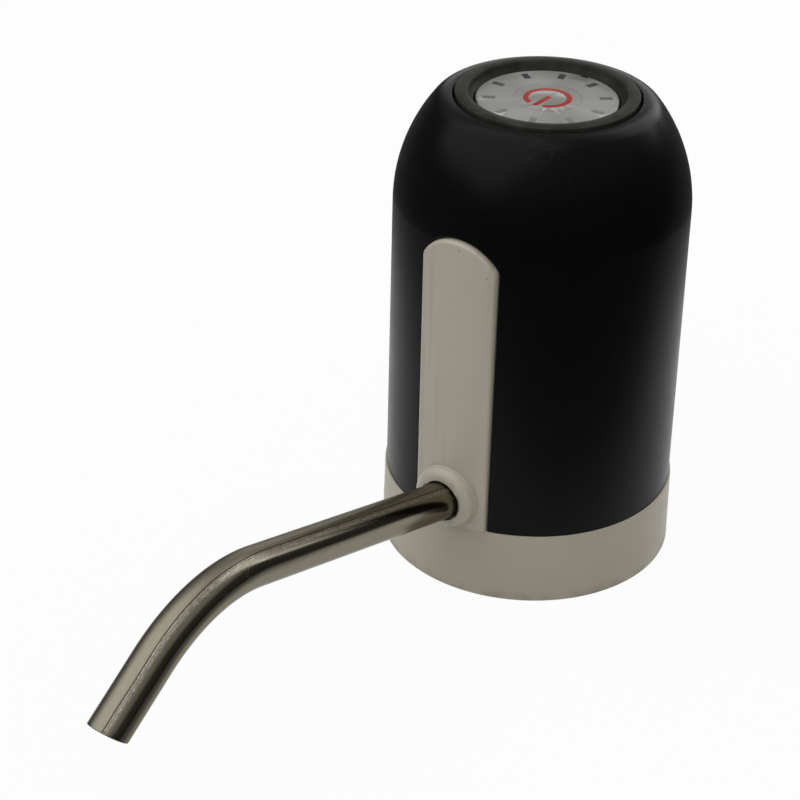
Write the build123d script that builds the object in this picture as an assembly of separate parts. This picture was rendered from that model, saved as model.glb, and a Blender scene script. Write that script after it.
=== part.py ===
from build123d import *
import os
from math import acos, asin, cos, degrees, pi, radians, sin, sqrt, tan

# Bottled water pump. Millimetres, +Z up. The origin is the centre of the bottle-neck bore at its mouth,
# on the plane that the base stands on. The spout points along -Y.

# Base ring: outside, neck collar and deck
neck_bore_radius = 28.5
neck_mouth_depth = 4.5
bead_relief = 0.6
base_reach = 9.0
base_height = 19.0
base_draft = 0.35
base_edge_break = 0.25
base_wall = 2.2
collar_wall = 2.4
deck_drop = 3.6
deck_thickness = 2.4
ledge_thickness = 2.0
spigot_wall = 1.6
spigot_height = 3.4
spigot_clearance = 0.2
rib_count = 16
rib_thickness = 1.4
rib_setback = 2.5

# Seal in the neck bore
seal_thickness = 1.5
seal_width = 3.4
seal_lip_radius = 0.45
seal_clearance = 0.1

# Upper shell: a slightly tapered drum, a domed shoulder and a small top edge
shell_setback = 0.75
shell_taper = 0.25
shoulder_drop = 2.93
dome_radius = 41.94
dome_turn = 38.1
crown_radius = 5.6
crown_flat = 0.56
shell_wall = 2.4
top_edge_round = 0.5
ledge_gap = 1.0
bezel_ledge_drop = 2.7
bezel_ledge_thickness = 2.0
bezel_ledge_reach = 3.2

# Front strip: a white panel with the spout boss and socket
strip_half_width = 10.2
strip_corner_drop = 2.57
strip_arch_rise = 6.0
strip_proud = 0.85
strip_corner_round = 2.4
strip_edge_round = 0.9
strip_wall = 2.0
strip_gap = 0.25
slot_edge_round = 0.45
flange_overlap = 1.8
flange_thickness = 1.6
flange_clearance = 0.15
boss_radius = 8.3
boss_lift = 8.0
boss_stand = 3.0
boss_round = 2.4

# Spout: one bent stainless tube on an inclined axis
spout_radius = 4.75
spout_wall = 0.5
spout_pivot_setback = 4.6
spout_pivot_drop = 1.51
spout_rise = 15.9
spout_first_run = 80.2
spout_bend_radius = 41.8
spout_bend_turn = 49.0
spout_last_run = 17.7
spout_inset = 7.0
spout_tip_round = 0.2
socket_bore_radius = 5.3
socket_wall = 1.6
socket_bottom_gap = 0.5
socket_end_wall = 1.5
socket_clearance = 0.3
sleeve_length = 8.3
sleeve_clearance = 0.04
tail_radius = 3.0
tail_length = 4.5
tail_bore_radius = 2.2

# Top bezel and button
bezel_gap = 0.4
bezel_height = 3.6
bezel_crown_drop = 0.3
bezel_face_width = 3.1
bezel_lip_drop = 0.1
dish_width = 1.6
bezel_dish_depth = 2.3
dish_out_share = 0.6
dish_up_share = 0.38
bezel_skirt_wall = 1.5
bezel_skirt_depth = 5.0
snap_count = 3
snap_angle = 36.0
snap_reach = 1.3
snap_height = 1.6
snap_clearance = 0.4
post_radius = 1.9
post_length = 3.8
post_setback = 0.6
post_turn = 90.0
button_gap = 0.3
button_drop = 1.8
button_thickness = 1.4
button_skirt_wall = 1.3
button_skirt_depth = 3.2
button_edge_round = 0.25
button_notch_half_width = 1.0
button_notch_depth = 0.9
button_travel = 0.6
hook_width = 6.0
hook_height = 1.1
hook_reach = 1.0
hook_clearance = 0.3
hook_turn = 30.0
stem_radius = 2.2
mark_depth = 0.4
mark_count = 10
mark_length = 3.1
mark_width = 1.7
mark_setback = 3.2
symbol_radius = 5.9
symbol_width = 1.35
symbol_gap_turn = 42.0
symbol_bar_top = 1.0
symbol_bar_end = 5.7
symbol_turn = 1.0
guide_thickness = 1.0
guide_width = 6.1
guide_clearance = 0.3

# Control board under the button
board_margin = 2.4
board_thickness = 1.6
switch_side = 6.0
switch_height = 3.5
plunger_radius = 1.7
plunger_clearance = 0.08
plunger_stand = 1.0
plunger_depth = 1.3
switch_pit_margin = 0.5
led_setback = 1.5
led_length = 3.2
led_width = 1.6
led_height = 0.8
led_count = 5
chip_side = 4.9
chip_height = 1.6
chip_offset = 8.5
coil_radius = 2.9
coil_height = 2.4

# Screws: one size of self-tapping screw
screw_radius = 1.1
screw_head_radius = 2.1
screw_head_height = 1.4
screw_hole_clearance = 0.2
pilot_clearance = 0.05
screw_slot = 0.5
screw_length = 6.2
board_screw_length = 4.6
base_screw_length = 9.0
screw_ring_setback = 1.95
screw_ring_angles = (35.0, 145.0, 215.0, 325.0)
screw_pocket_clearance = 0.2
screw_pocket_roof = 5.5
shell_boss_radius = 2.9
shell_boss_height = 15.0

# Gear pump: body, cover, gears and pins
gear_module = 1.0
gear_teeth = 12
gear_pressure = 25.0
gear_addendum_share = 0.85
gear_dedendum_share = 1.15
gear_backlash = 0.18
gear_face_width = 6.7
gear_end_clearance = 0.15
gear_tip_clearance = 0.2
gear_line_y = -6.0
pump_floor = 2.0
pump_wall = 2.6
pump_end_wall = 3.2
pump_corner_round = 3.0
pump_cover_thickness = 4.6
pump_screw_inset = 2.8
pump_screw_length = 9.0
port_radius = 2.4
port_pitch = 6.0
outlet_length = 2.6
ear_radius = 3.0
ear_offset = 20.0
ear_height = 5.0
idler_pin_radius = 1.0
running_clearance = 0.05
pin_seat = 1.5
shaft_seal_radius = 3.0
shaft_seal_thickness = 2.0
shaft_seal_floor = 0.9
tube_wall = 1.25
tube_clearance = 0.05
tube_bend_radius = 10.0
tube_end_gap = 0.3

# Inlet nozzle for the suction hose
nozzle_radius = 4.0
nozzle_bore_radius = 2.6
nozzle_end_z = 5.0
nozzle_chamfer = 0.6
nozzle_shoulder_radius = 5.0
nozzle_shoulder_drop = 0.4
nozzle_flange_radius = 7.0
nozzle_flange_thickness = 1.0
gasket_thickness = 0.6
gasket_clearance = 0.2

# Motor
can_radius = 12.2
can_length = 30.8
can_wall = 0.9
hub_radius = 3.5
hub_height = 1.5
hub_clearance = 0.2
bush_radius = 2.6
vent_width = 2.2
vent_length = 7.0
end_cap_height = 3.0
end_cap_lip = 2.5
end_cap_hub_radius = 3.8
end_cap_hub_height = 1.5
cap_clearance = 0.1
shaft_radius = 1.0
magnet_thickness = 1.5
magnet_length = 19.0
magnet_gap_half_width = 3.0
core_radius = 8.6
core_length = 13.0
core_hub_radius = 3.2
core_arm_width = 3.4
core_shoe_thickness = 1.3
core_slot_half_width = 1.2
pole_count = 3
winding_overhang = 2.0
winding_half_width = 4.0
winding_inner = 3.6
winding_margin = 0.3
commutator_radius = 2.7
commutator_length = 4.5
commutator_slot = 0.35
terminal_width = 2.4
terminal_thickness = 0.5
terminal_height = 4.0
terminal_offset = 7.6

# Inner frame, battery and strap
battery_radius = 9.2
battery_length = 65.0
battery_x = 17.0
battery_y = 5.0
battery_cap_radius = 3.2
battery_cap_height = 0.8
battery_clearance = 0.15
cradle_wall = 1.6
cradle_height = 58.0
cradle_opening = 7.0
frame_lift = 0.2
frame_plate_thickness = 1.8
frame_bridge_half_width = 6.0
motor_ring_height = 14.0
motor_ring_opening = 8.0
leg_radius = 2.4
leg_places = ((21.5, 7.5), (-7.5, 7.2), (11.5, 13.5))
strap_height = 5.0
strap_thickness = 0.8
strap_share = 0.62
tab_width = 5.0
tab_thickness = 0.3
tab_reach_share = 0.7

# Charging board, socket and lamp on the rear wall
charge_lift = 11.0
charge_half_width = 10.5
charge_board_length = 12.7
charge_board_setback = 6.55
charge_board_thickness = 1.2
rail_depth = 2.4
rail_overlap = 0.5
rail_height = 2.3
rail_clearance = 0.1
usb_half_width = 3.75
usb_height = 2.6
usb_depth = 6.4
usb_wall = 0.3
usb_bevel = 0.7
usb_mouth_setback = 1.65
usb_cavity = 5.0
usb_tongue_half_width = 1.8
usb_tongue_thickness = 0.7
usb_opening_clearance = 0.25
plug_recess_half_width = 5.7
plug_recess_height = 7.2
plug_recess_depth = 0.9
plug_recess_round = 1.2
lamp_x = 8.0
lamp_radius = 1.0
lamp_proud = 0.2
lamp_length = 7.5
lamp_clearance = 0.1
charge_chip_length = 5.0
charge_chip_width = 4.0
charge_chip_height = 1.5
charge_chip_setback = 5.5
charge_chip_pitch = 6.5
charge_led_length = 1.6
charge_led_width = 0.8

# Cuts run past the surface that they open by this much
overrun = 1.0

# Levels and places that follow from the sizes above
base_radius = neck_bore_radius + base_reach
bead_radius = neck_bore_radius + bead_relief
deck_top = base_height - deck_drop
deck_z = deck_top - deck_thickness
neck_bore_depth = deck_z - seal_thickness
shell_foot_radius = base_radius - shell_setback
shell_shoulder_radius = shell_foot_radius - shell_taper
base_top_radius = base_radius - base_draft
shell_inner_foot = shell_foot_radius - shell_wall
spigot_outer = shell_inner_foot - spigot_clearance
spigot_inner = spigot_outer - spigot_wall
collar_radius = neck_bore_radius + collar_wall
skirt_inner = base_top_radius - base_wall + base_draft
screw_ring_radius = shell_inner_foot - screw_ring_setback
boss_height_z = base_height + boss_lift
spout_pivot_z = boss_height_z - spout_pivot_drop
charge_z = base_height + charge_lift
pitch_radius = gear_module * gear_teeth / 2
gear_base_radius = pitch_radius * cos(radians(gear_pressure))
gear_tip_radius = pitch_radius + gear_addendum_share * gear_module
gear_root_radius = pitch_radius - gear_dedendum_share * gear_module
chamber_radius = gear_tip_radius + gear_tip_clearance
chamber_floor = deck_top + pump_floor
chamber_top = chamber_floor + gear_face_width + 2 * gear_end_clearance
outlet_z = (chamber_floor + chamber_top) / 2
pump_half_length = pitch_radius + chamber_radius + pump_end_wall
pump_half_width = chamber_radius + pump_wall
cover_top = chamber_top + pump_cover_thickness
motor_top = cover_top + can_length
frame_z = cover_top + frame_lift
frame_top = frame_z + frame_plate_thickness
battery_top = frame_top + battery_length
shell_shoulder_z = battery_top - shoulder_drop
strip_corner_z = shell_shoulder_z - strip_corner_drop
strip_apex_z = strip_corner_z + strip_arch_rise
dome_centre_r = shell_shoulder_radius - dome_radius
crown_r = dome_centre_r + (dome_radius - crown_radius) * cos(radians(dome_turn))
top_opening_radius = crown_r - crown_flat
crown_z = shell_shoulder_z + (dome_radius - crown_radius) * sin(radians(dome_turn))
shell_top = crown_z + crown_radius
bezel_seat_z = shell_top - bezel_ledge_drop
bezel_radius = top_opening_radius - bezel_gap
bezel_top = bezel_seat_z + bezel_height
skirt_bottom = bezel_seat_z - bezel_skirt_depth
bezel_lip_radius = bezel_radius - bezel_face_width
bezel_bore_radius = bezel_lip_radius - dish_width
ledge_inner_radius = bezel_bore_radius + bezel_skirt_wall + ledge_gap
post_ring_radius = bezel_bore_radius + post_setback
board_radius = post_ring_radius + board_margin
button_radius = bezel_bore_radius - button_gap
mark_ring_radius = button_radius - mark_setback
led_ring_radius = mark_ring_radius - led_setback
button_top = bezel_top - button_drop
button_under = button_top - button_thickness
board_top = skirt_bottom - post_length
board_bottom = board_top - board_thickness
plunger_top = board_top + switch_height + plunger_stand
cradle_radius = battery_radius + battery_clearance
strap_z = frame_top + cradle_height * strap_share
sleeve_radius = spout_radius + sleeve_clearance
socket_radius = socket_bore_radius + socket_wall
shell_strip_radius = shell_foot_radius + strip_proud
boss_reach = shell_strip_radius + boss_stand
flange_radius = shell_inner_foot - flange_clearance
charge_rear_y = shell_foot_radius - charge_board_setback
charge_front_y = charge_rear_y - charge_board_length
usb_mouth_y = shell_foot_radius - usb_mouth_setback

spout_pivot = Vector(0, spout_pivot_setback - boss_reach, spout_pivot_z)
spout_dir = Vector(0, -cos(radians(spout_rise)), sin(radians(spout_rise)))
spout_fall = spout_bend_turn - spout_rise
tip_dir = Vector(0, -cos(radians(spout_fall)), -sin(radians(spout_fall)))


def disc(radius, low, high, x=0, y=0):
    """An upright cylinder between two heights."""
    solid = Cylinder(radius, high - low, align=(Align.CENTER, Align.CENTER, Align.MIN))
    return Pos(x, y, low) * solid


def ring(inner, outer, low, high, x=0, y=0):
    """An upright tube between two heights."""
    return disc(outer, low, high, x, y) - disc(inner, low - overrun, high + overrun, x, y)


def block(x0, x1, y0, y1, z0, z1):
    """A box between two corners."""
    return Pos((x0 + x1) / 2, (y0 + y1) / 2, (z0 + z1) / 2) * Box(x1 - x0, y1 - y0, z1 - z0)


def turned(points):
    """A solid of revolution about Z from a closed outline of (radius, height) points."""
    line = Polyline([(r, 0, z) for r, z in points], close=True)
    return revolve(make_face(line), Axis.Z)


def along(start, direction, radius, length):
    """A cylinder from a point along a direction."""
    plane = Plane(origin=start, x_dir=(1, 0, 0), z_dir=direction)
    return plane * Cylinder(radius, length, align=(Align.CENTER, Align.CENTER, Align.MIN))


def on_axis(distance):
    """A point on the spout's inclined axis, counted outwards from the pivot point."""
    return spout_pivot + spout_dir * distance


def screw(x, y, head_z, length, up=1):
    """A pan-head screw with a cross slot; it points up or down from the seat of its head."""
    low = head_z - screw_head_height if up > 0 else head_z
    head = disc(screw_head_radius, low, low + screw_head_height, x, y)
    rim = head.edges().filter_by(GeomType.CIRCLE).sort_by(Axis.Z)[0 if up > 0 else -1]
    head = fillet(rim, screw_head_height / 2)
    face_z = head_z - up * screw_head_height
    deep = screw_head_height / 2
    slot = Box(screw_head_radius, screw_slot, 2 * deep) + Box(screw_slot, screw_head_radius, 2 * deep)
    head -= Pos(x, y, face_z) * slot
    shank = disc(screw_radius, min(head_z, head_z + up * length), max(head_z, head_z + up * length), x, y)
    return head + shank


def shell_profile(offset):
    """The drum and dome outline, moved inwards by offset, closed on the axis."""
    foot = (shell_foot_radius - offset, 0, base_height - (overrun if offset else 0))
    shoulder = (shell_shoulder_radius - offset, 0, shell_shoulder_z)
    big = dome_radius - offset
    small = crown_radius - offset
    half = radians(dome_turn / 2)
    full = radians(dome_turn)
    dome_mid = (dome_centre_r + big * cos(half), 0, shell_shoulder_z + big * sin(half))
    dome_end = (dome_centre_r + big * cos(full), 0, shell_shoulder_z + big * sin(full))
    rest = (full + pi / 2) / 2
    crown_mid = (crown_r + small * cos(rest), 0, crown_z + small * sin(rest))
    crown_end = (crown_r, 0, crown_z + small)
    lines = [
        Line(foot, shoulder),
        ThreePointArc(shoulder, dome_mid, dome_end),
        ThreePointArc(dome_end, crown_mid, crown_end),
        Line(crown_end, (0, 0, crown_end[2])),
        Line((0, 0, crown_end[2]), (0, 0, foot[2])),
        Line((0, 0, foot[2]), foot),
    ]
    return make_face(lines)


def strip_outline(grow, low):
    """The strip's arched front outline, grown by a margin, as a face that looks along Y."""
    half = strip_half_width + grow
    rise = strip_apex_z - strip_corner_z
    arc_radius = (strip_half_width ** 2 + rise ** 2) / (2 * rise) + grow
    centre_z = strip_apex_z + grow - arc_radius
    corner_z = centre_z + sqrt(arc_radius ** 2 - half ** 2)
    lines = [
        Line((-half, 0, low), (half, 0, low)),
        Line((half, 0, low), (half, 0, corner_z)),
        ThreePointArc((half, 0, corner_z), (0, 0, strip_apex_z + grow), (-half, 0, corner_z)),
        Line((-half, 0, corner_z), (-half, 0, low)),
    ]
    face = make_face(lines)
    return fillet(face.vertices().sort_by(Axis.Z)[-2:], strip_corner_round + grow)


def strip_prism(grow, low):
    """The outline carried from the axis out past the front of the shell."""
    return extrude(strip_outline(grow, low), amount=boss_reach, dir=(0, -1, 0))


def base_ring():
    """Skirt, stepped deck, neck collar with a relief for the neck's bead, ribs, and the shell's spigot."""
    body = turned([
        (neck_bore_radius, 0), (collar_radius, 0), (collar_radius, deck_z), (skirt_inner, deck_z),
        (skirt_inner, 0), (base_radius - base_edge_break, 0), (base_radius, base_edge_break),
        (base_top_radius, base_height - base_edge_break), (base_top_radius - base_edge_break, base_height),
        (spigot_outer, base_height),
        (spigot_outer, base_height + spigot_height), (spigot_inner, base_height + spigot_height),
        (spigot_inner, deck_top), (0, deck_top), (0, deck_z),
        (bead_radius, deck_z), (bead_radius, neck_mouth_depth + bead_relief),
        (neck_bore_radius, neck_mouth_depth),
    ])
    body -= ring(spigot_outer, skirt_inner, 0, base_height - ledge_thickness)
    for k in range(rib_count):
        rib = block(collar_radius - collar_wall / 2, skirt_inner + base_wall / 2, -rib_thickness / 2,
                    rib_thickness / 2, rib_setback, base_height - ledge_thickness / 2)
        body += Rot(0, 0, (k + 1 / 2) * 360 / rib_count) * rib
    body += screw_pillars()
    body -= disc(spigot_inner, deck_top, base_height + spigot_height + overrun)
    body -= base_openings()
    return body


def screw_pillars():
    """Pillars between collar and skirt that the base screws pass through."""
    pillars = Part()
    for angle in screw_ring_angles:
        pillar = disc(shell_boss_radius, rib_setback, base_height, screw_ring_radius)
        pillars += Rot(0, 0, angle) * pillar
    return pillars & disc(base_top_radius - base_wall / 2, 0, base_height)


def base_openings():
    """Nozzle seat, screw holes and pockets, and the clearance for the spout's socket."""
    flange_low = deck_top - gasket_thickness - nozzle_flange_thickness
    cuts = disc(nozzle_flange_radius + gasket_clearance, flange_low, deck_top + overrun)
    cuts += disc(nozzle_shoulder_radius + gasket_clearance, 0, deck_top)
    hole = screw_radius + screw_hole_clearance
    for x, y in deck_screw_places():
        cuts += disc(hole, deck_z - overrun, deck_top + overrun, x, y)
    pocket = screw_head_radius + screw_pocket_clearance
    for angle in screw_ring_angles:
        tool = disc(pocket, -overrun, base_height - screw_pocket_roof, screw_ring_radius)
        tool += disc(hole, 0, base_height + overrun, screw_ring_radius)
        tool += disc(shell_boss_radius + spigot_clearance, base_height, base_height + 2 * spigot_height,
                     screw_ring_radius)
        cuts += Rot(0, 0, angle) * tool
    half = strip_half_width + flange_overlap + socket_clearance
    cuts += block(-half, half, -base_radius, 0, base_height, base_height + 2 * spigot_height)
    start = on_axis(-(spout_inset + socket_bottom_gap))
    channel = along(start, spout_dir, socket_radius + socket_clearance, 2 * spout_inset)
    cuts += channel & block(-half, half, -base_radius, 0, deck_top, base_height + spigot_height)
    return cuts


def deck_screw_places():
    """Where the screws come up through the deck: the frame's legs and the pump's ears."""
    return list(leg_places) + [(-ear_offset, gear_line_y), (ear_offset, gear_line_y)]


def neck_seal():
    """Flat silicone ring with one raised lip, at the top of the neck bore."""
    outer = bead_radius - seal_clearance
    inner = neck_bore_radius - seal_width
    body = ring(inner, outer, neck_bore_depth, deck_z)
    lip = Torus((inner + outer) / 2, seal_lip_radius)
    return body + Pos(0, 0, neck_bore_depth) * lip


def inlet_nozzle():
    """Flanged tube through the deck, with a shoulder that the suction hose stops at."""
    flange_low = deck_top - gasket_thickness - nozzle_flange_thickness
    shoulder_z = deck_z - nozzle_shoulder_drop
    body = turned([
        (nozzle_bore_radius, nozzle_end_z), (nozzle_radius - nozzle_chamfer, nozzle_end_z),
        (nozzle_radius, nozzle_end_z + nozzle_chamfer), (nozzle_radius, shoulder_z),
        (nozzle_shoulder_radius, shoulder_z), (nozzle_shoulder_radius, flange_low),
        (nozzle_flange_radius, flange_low), (nozzle_flange_radius, flange_low + nozzle_flange_thickness),
        (nozzle_bore_radius, flange_low + nozzle_flange_thickness),
    ])
    return body


def inlet_gasket():
    """Rubber washer between the nozzle's flange and the pump."""
    return ring(nozzle_bore_radius, nozzle_flange_radius, deck_top - gasket_thickness, deck_top)


def upper_shell():
    """Thin drum with a domed shoulder, the strip's slot, the top opening, bosses, rails and rear openings."""
    outer = revolve(shell_profile(0), Axis.Z)
    cavity = revolve(shell_profile(shell_wall), Axis.Z)
    body = outer - cavity
    seat = ring(ledge_inner_radius, top_opening_radius + bezel_ledge_reach,
                bezel_seat_z - bezel_ledge_thickness, bezel_seat_z)
    body += seat & outer
    body -= disc(ledge_inner_radius, bezel_seat_z - overrun, shell_top + overrun)
    body -= disc(top_opening_radius, bezel_seat_z, shell_top + overrun)
    circles = body.edges().filter_by(GeomType.CIRCLE)
    circles = circles.filter_by(lambda e: abs(e.radius - top_opening_radius) < top_edge_round)
    body = fillet(circles.sort_by(Axis.Z)[-1], top_edge_round)
    body -= strip_prism(strip_gap, base_height - overrun)
    slot_edges = body.edges().filter_by(lambda e: on_slot_rim(e))
    body = fillet(slot_edges, slot_edge_round)
    body += shell_bosses() & outer
    body += charge_rails() & outer
    return body - rear_openings()


def on_slot_rim(edge):
    """True for the outer edges of the strip's slot, above the foot of the shell."""
    middle = edge @ 0.5
    reach = sqrt(middle.X ** 2 + middle.Y ** 2)
    outside = abs(reach - shell_radius_at(middle.Z)) < slot_edge_round
    inside_slot = middle.Y < 0 and abs(middle.X) < strip_half_width + 2 * strip_gap
    return outside and inside_slot and base_height < middle.Z < strip_apex_z + overrun


def shell_radius_at(z):
    """Outer radius of the drum at a height, or of the dome above the shoulder."""
    if z > shell_shoulder_z:
        return dome_centre_r + sqrt(dome_radius ** 2 - (z - shell_shoulder_z) ** 2)
    share = (z - base_height) / (shell_shoulder_z - base_height)
    return shell_foot_radius - shell_taper * share


def shell_bosses():
    """Screw bosses on the inner wall with blind pilot holes."""
    bosses = Part()
    for angle in screw_ring_angles:
        boss = ring(screw_radius + pilot_clearance, shell_boss_radius, base_height,
                    base_height + shell_boss_height, screw_ring_radius)
        boss += disc(shell_boss_radius, base_height + shell_boss_height - overrun,
                     base_height + shell_boss_height, screw_ring_radius)
        bosses += Rot(0, 0, angle) * boss
    return bosses


def charge_rails():
    """Two slotted rails on the rear wall that the charging board slides into."""
    rails = Part()
    low = charge_z - rail_height
    high = charge_z + charge_board_thickness + rail_height
    for side in (-1, 1):
        near = side * (charge_half_width - rail_overlap)
        far = side * (charge_half_width + rail_depth)
        rail = block(min(near, far), max(near, far), charge_front_y + rail_depth, shell_foot_radius,
                     low, high)
        edge = side * (charge_half_width + rail_clearance)
        slot = block(min(0, edge), max(0, edge), 0, charge_rear_y + rail_clearance,
                     charge_z - rail_clearance, charge_z + charge_board_thickness + rail_clearance)
        rails += rail - slot
    return rails


def rear_openings():
    """Plug recess, socket opening and lamp hole in the rear wall."""
    centre_z = charge_z + charge_board_thickness + usb_height / 2
    recess_floor = shell_foot_radius - strip_gap - plug_recess_depth
    recess = block(-plug_recess_half_width, plug_recess_half_width, recess_floor, 2 * base_radius,
                   centre_z - plug_recess_height / 2, centre_z + plug_recess_height / 2)
    recess = fillet(recess.edges().filter_by(Axis.Y), plug_recess_round)
    grow = usb_opening_clearance
    mouth = block(-usb_half_width - grow, usb_half_width + grow, 0, 2 * base_radius,
                  centre_z - usb_height / 2 - grow, centre_z + usb_height / 2 + grow)
    lamp = along((lamp_x, 0, centre_z), (0, 1, 0), lamp_radius + lamp_clearance, 2 * base_radius)
    return recess + mouth + lamp


def front_strip():
    """White panel proud of the shell, with its hidden flange, the spout boss and the inclined socket."""
    plate = strip_prism(0, base_height) - disc(flange_radius - flange_thickness, 0, shell_top)
    plate = plate & disc(shell_strip_radius, 0, shell_top)
    rim = plate.edges().filter_by(lambda e: on_strip_rim(e))
    plate = fillet(rim, strip_edge_round)
    hollow = strip_prism(-strip_wall, base_height - overrun)
    plate -= hollow & disc(shell_strip_radius - strip_wall, 0, shell_top)
    body = plate + strip_flange() - hollow_behind_flange()
    body += spout_boss() + socket_body()
    body -= along(on_axis(-spout_inset - socket_bottom_gap), spout_dir, socket_bore_radius, 2 * boss_reach)
    body -= along(on_axis(-2 * boss_radius - tail_length), spout_dir, tail_bore_radius, 2 * boss_reach)
    return body


def strip_flange():
    """Border behind the shell's wall, following the inside of the drum and the dome."""
    outer = shell_wall + flange_clearance
    skin = revolve(shell_profile(outer), Axis.Z) - revolve(shell_profile(outer + flange_thickness), Axis.Z)
    return skin & strip_prism(flange_overlap, base_height)


def hollow_behind_flange():
    """The flange's window, so that the panel is open from behind."""
    window = strip_prism(-strip_wall, base_height - overrun)
    return window & disc(shell_strip_radius - strip_wall, 0, shell_top)


def on_strip_rim(edge):
    """True for the outer front edges of the strip, above its foot."""
    middle = edge.center()
    reach = sqrt(middle.X ** 2 + middle.Y ** 2)
    return middle.Y < 0 and reach > shell_strip_radius - strip_proud and middle.Z > base_height + overrun


def spout_boss():
    """Rounded collar round the spout's hole, with a soft foot on the strip, kept clear of the base ring."""
    root = shell_strip_radius - strip_edge_round - strip_proud
    length = boss_reach - root
    collar = Cylinder(boss_radius, length, align=(Align.CENTER, Align.CENTER, Align.MIN))
    collar = fillet(collar.edges().filter_by(GeomType.CIRCLE).sort_by(Axis.Z)[-1], boss_round)
    plane = Plane(origin=(0, -root, boss_height_z), x_dir=(1, 0, 0), z_dir=(0, -1, 0))
    return plane * collar - disc(base_radius, 0, base_height)


def socket_body():
    """Inclined blind tube behind the boss with a tail for the delivery tube."""
    depth = spout_inset + socket_bottom_gap
    end = depth + socket_end_wall
    body = along(on_axis(-end), spout_dir, socket_radius, end)
    body += along(on_axis(-end - tail_length), spout_dir, tail_radius, tail_length + overrun)
    return body


def bent_tube(radius, first, last):
    """The spout's centreline at one radius: a straight, a bend and a straight, all round."""
    start = on_axis(-spout_inset - first)
    bend_start = on_axis(spout_first_run)
    down = Vector(0, -sin(radians(spout_rise)), -cos(radians(spout_rise)))
    centre = bend_start + down * spout_bend_radius
    straight = along(start, spout_dir, radius, spout_first_run + spout_inset + first)
    section = Plane(origin=bend_start, x_dir=(1, 0, 0), z_dir=spout_dir) * Circle(radius)
    bend = revolve(section, Axis(centre, (1, 0, 0)), revolution_arc=spout_bend_turn)
    bend_end = centre - (tip_normal() * spout_bend_radius)
    return straight + bend + along(bend_end, tip_dir, radius, spout_last_run + last)


def tip_normal():
    """Direction from the end of the bend to the bend's centre."""
    return Vector(0, sin(radians(spout_fall)), -cos(radians(spout_fall)))


def spout_tube():
    """Bent thin-walled stainless tube with a lightly broken edge at its mouth."""
    tube = bent_tube(spout_radius, 0, 0)
    rim = tube.edges().filter_by(GeomType.CIRCLE).sort_by(Axis.Y)[0]
    tube = fillet(rim, spout_tip_round)
    return tube - bent_tube(spout_radius - spout_wall, overrun, overrun)


def spout_seal():
    """Thin silicone sleeve on the tube's inner end; it seals in the socket and comes out with the tube."""
    start = on_axis(-spout_inset)
    outer = along(start, spout_dir, socket_bore_radius - sleeve_clearance, sleeve_length)
    return outer - along(on_axis(-spout_inset - overrun), spout_dir, sleeve_radius, 2 * sleeve_length)


def top_bezel():
    """Ring in the top opening with a crowned face, a curved dish wall, a snap skirt and board posts."""
    lip_z = bezel_top - bezel_lip_drop
    dish_z = bezel_top - bezel_dish_depth
    crown = ((bezel_radius + bezel_lip_radius) / 2, 0, bezel_top)
    dish_mid = (bezel_bore_radius + (bezel_lip_radius - bezel_bore_radius) * dish_out_share, 0,
                dish_z + (lip_z - dish_z) * dish_up_share)
    skirt_outer = bezel_bore_radius + bezel_skirt_wall
    points = [
        (bezel_radius, 0, bezel_top - bezel_crown_drop), (bezel_radius, 0, bezel_seat_z),
        (skirt_outer, 0, bezel_seat_z), (skirt_outer, 0, skirt_bottom), (bezel_bore_radius, 0, skirt_bottom),
        (bezel_bore_radius, 0, dish_z),
    ]
    lines = [Line(a, b) for a, b in zip(points, points[1:])]
    lines.append(ThreePointArc(points[-1], dish_mid, (bezel_lip_radius, 0, lip_z)))
    lines.append(ThreePointArc((bezel_lip_radius, 0, lip_z), crown, points[0]))
    body = revolve(make_face(lines), Axis.Z)
    for k in range(snap_count):
        turn = post_turn + k * 360 / snap_count
        body += Rot(0, 0, turn) * snap_tab(skirt_outer)
        body += Rot(0, 0, turn) * board_post()
    return body


def snap_tab(skirt_outer):
    """One outward snap tab under the shell's ledge."""
    top = bezel_seat_z - bezel_ledge_thickness - snap_clearance
    tab = ring(skirt_outer - bezel_skirt_wall / 2, skirt_outer + snap_reach, top - snap_height, top)
    half = (skirt_outer + snap_reach) * sin(radians(snap_angle / 2))
    return tab & block(0, 2 * skirt_outer, -half, half, 0, shell_top)


def board_post():
    """One post under the skirt with a pilot hole for a board screw."""
    post = disc(post_radius, board_top, skirt_bottom + overrun, post_ring_radius)
    post -= disc(bezel_bore_radius, skirt_bottom, skirt_bottom + 2 * overrun)
    return post - disc(screw_radius + pilot_clearance, board_top - overrun, skirt_bottom, post_ring_radius)


def button_cap():
    """Round push plate with a skirt, three hooks, a centre stem and pockets for the dial's marks."""
    skirt_low = button_under - button_skirt_depth
    skirt_inner_radius = button_radius - button_skirt_wall
    hook_top = skirt_bottom - hook_clearance
    hook_low = hook_top - hook_height
    body = turned([
        (0, button_under), (skirt_inner_radius, button_under), (skirt_inner_radius, hook_low),
        (button_radius + hook_reach, hook_low), (button_radius + hook_reach, hook_top),
        (button_radius, hook_top), (button_radius, button_top - button_edge_round),
        (button_radius - button_edge_round, button_top), (0, button_top),
    ])
    gaps = ring(skirt_inner_radius - overrun, button_radius + 2 * hook_reach, hook_low - overrun, skirt_low)
    for k in range(snap_count):
        hook = block(0, 2 * button_radius, -hook_width / 2, hook_width / 2, 0, shell_top)
        gaps -= Rot(0, 0, hook_turn + k * 360 / snap_count) * hook
    body -= gaps
    body += disc(stem_radius, plunger_top, button_under + button_thickness / 2)
    half = button_notch_half_width
    body -= block(-half, half, button_radius - button_notch_depth, 2 * button_radius,
                  button_under - button_notch_depth, button_top + overrun)
    return body - marks_up_to(button_top + overrun) - symbol_up_to(button_top + overrun)


def dial_marks():
    """Ten dark rectangular windows, flush with the face of the cap."""
    return marks_up_to(button_top)


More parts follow.
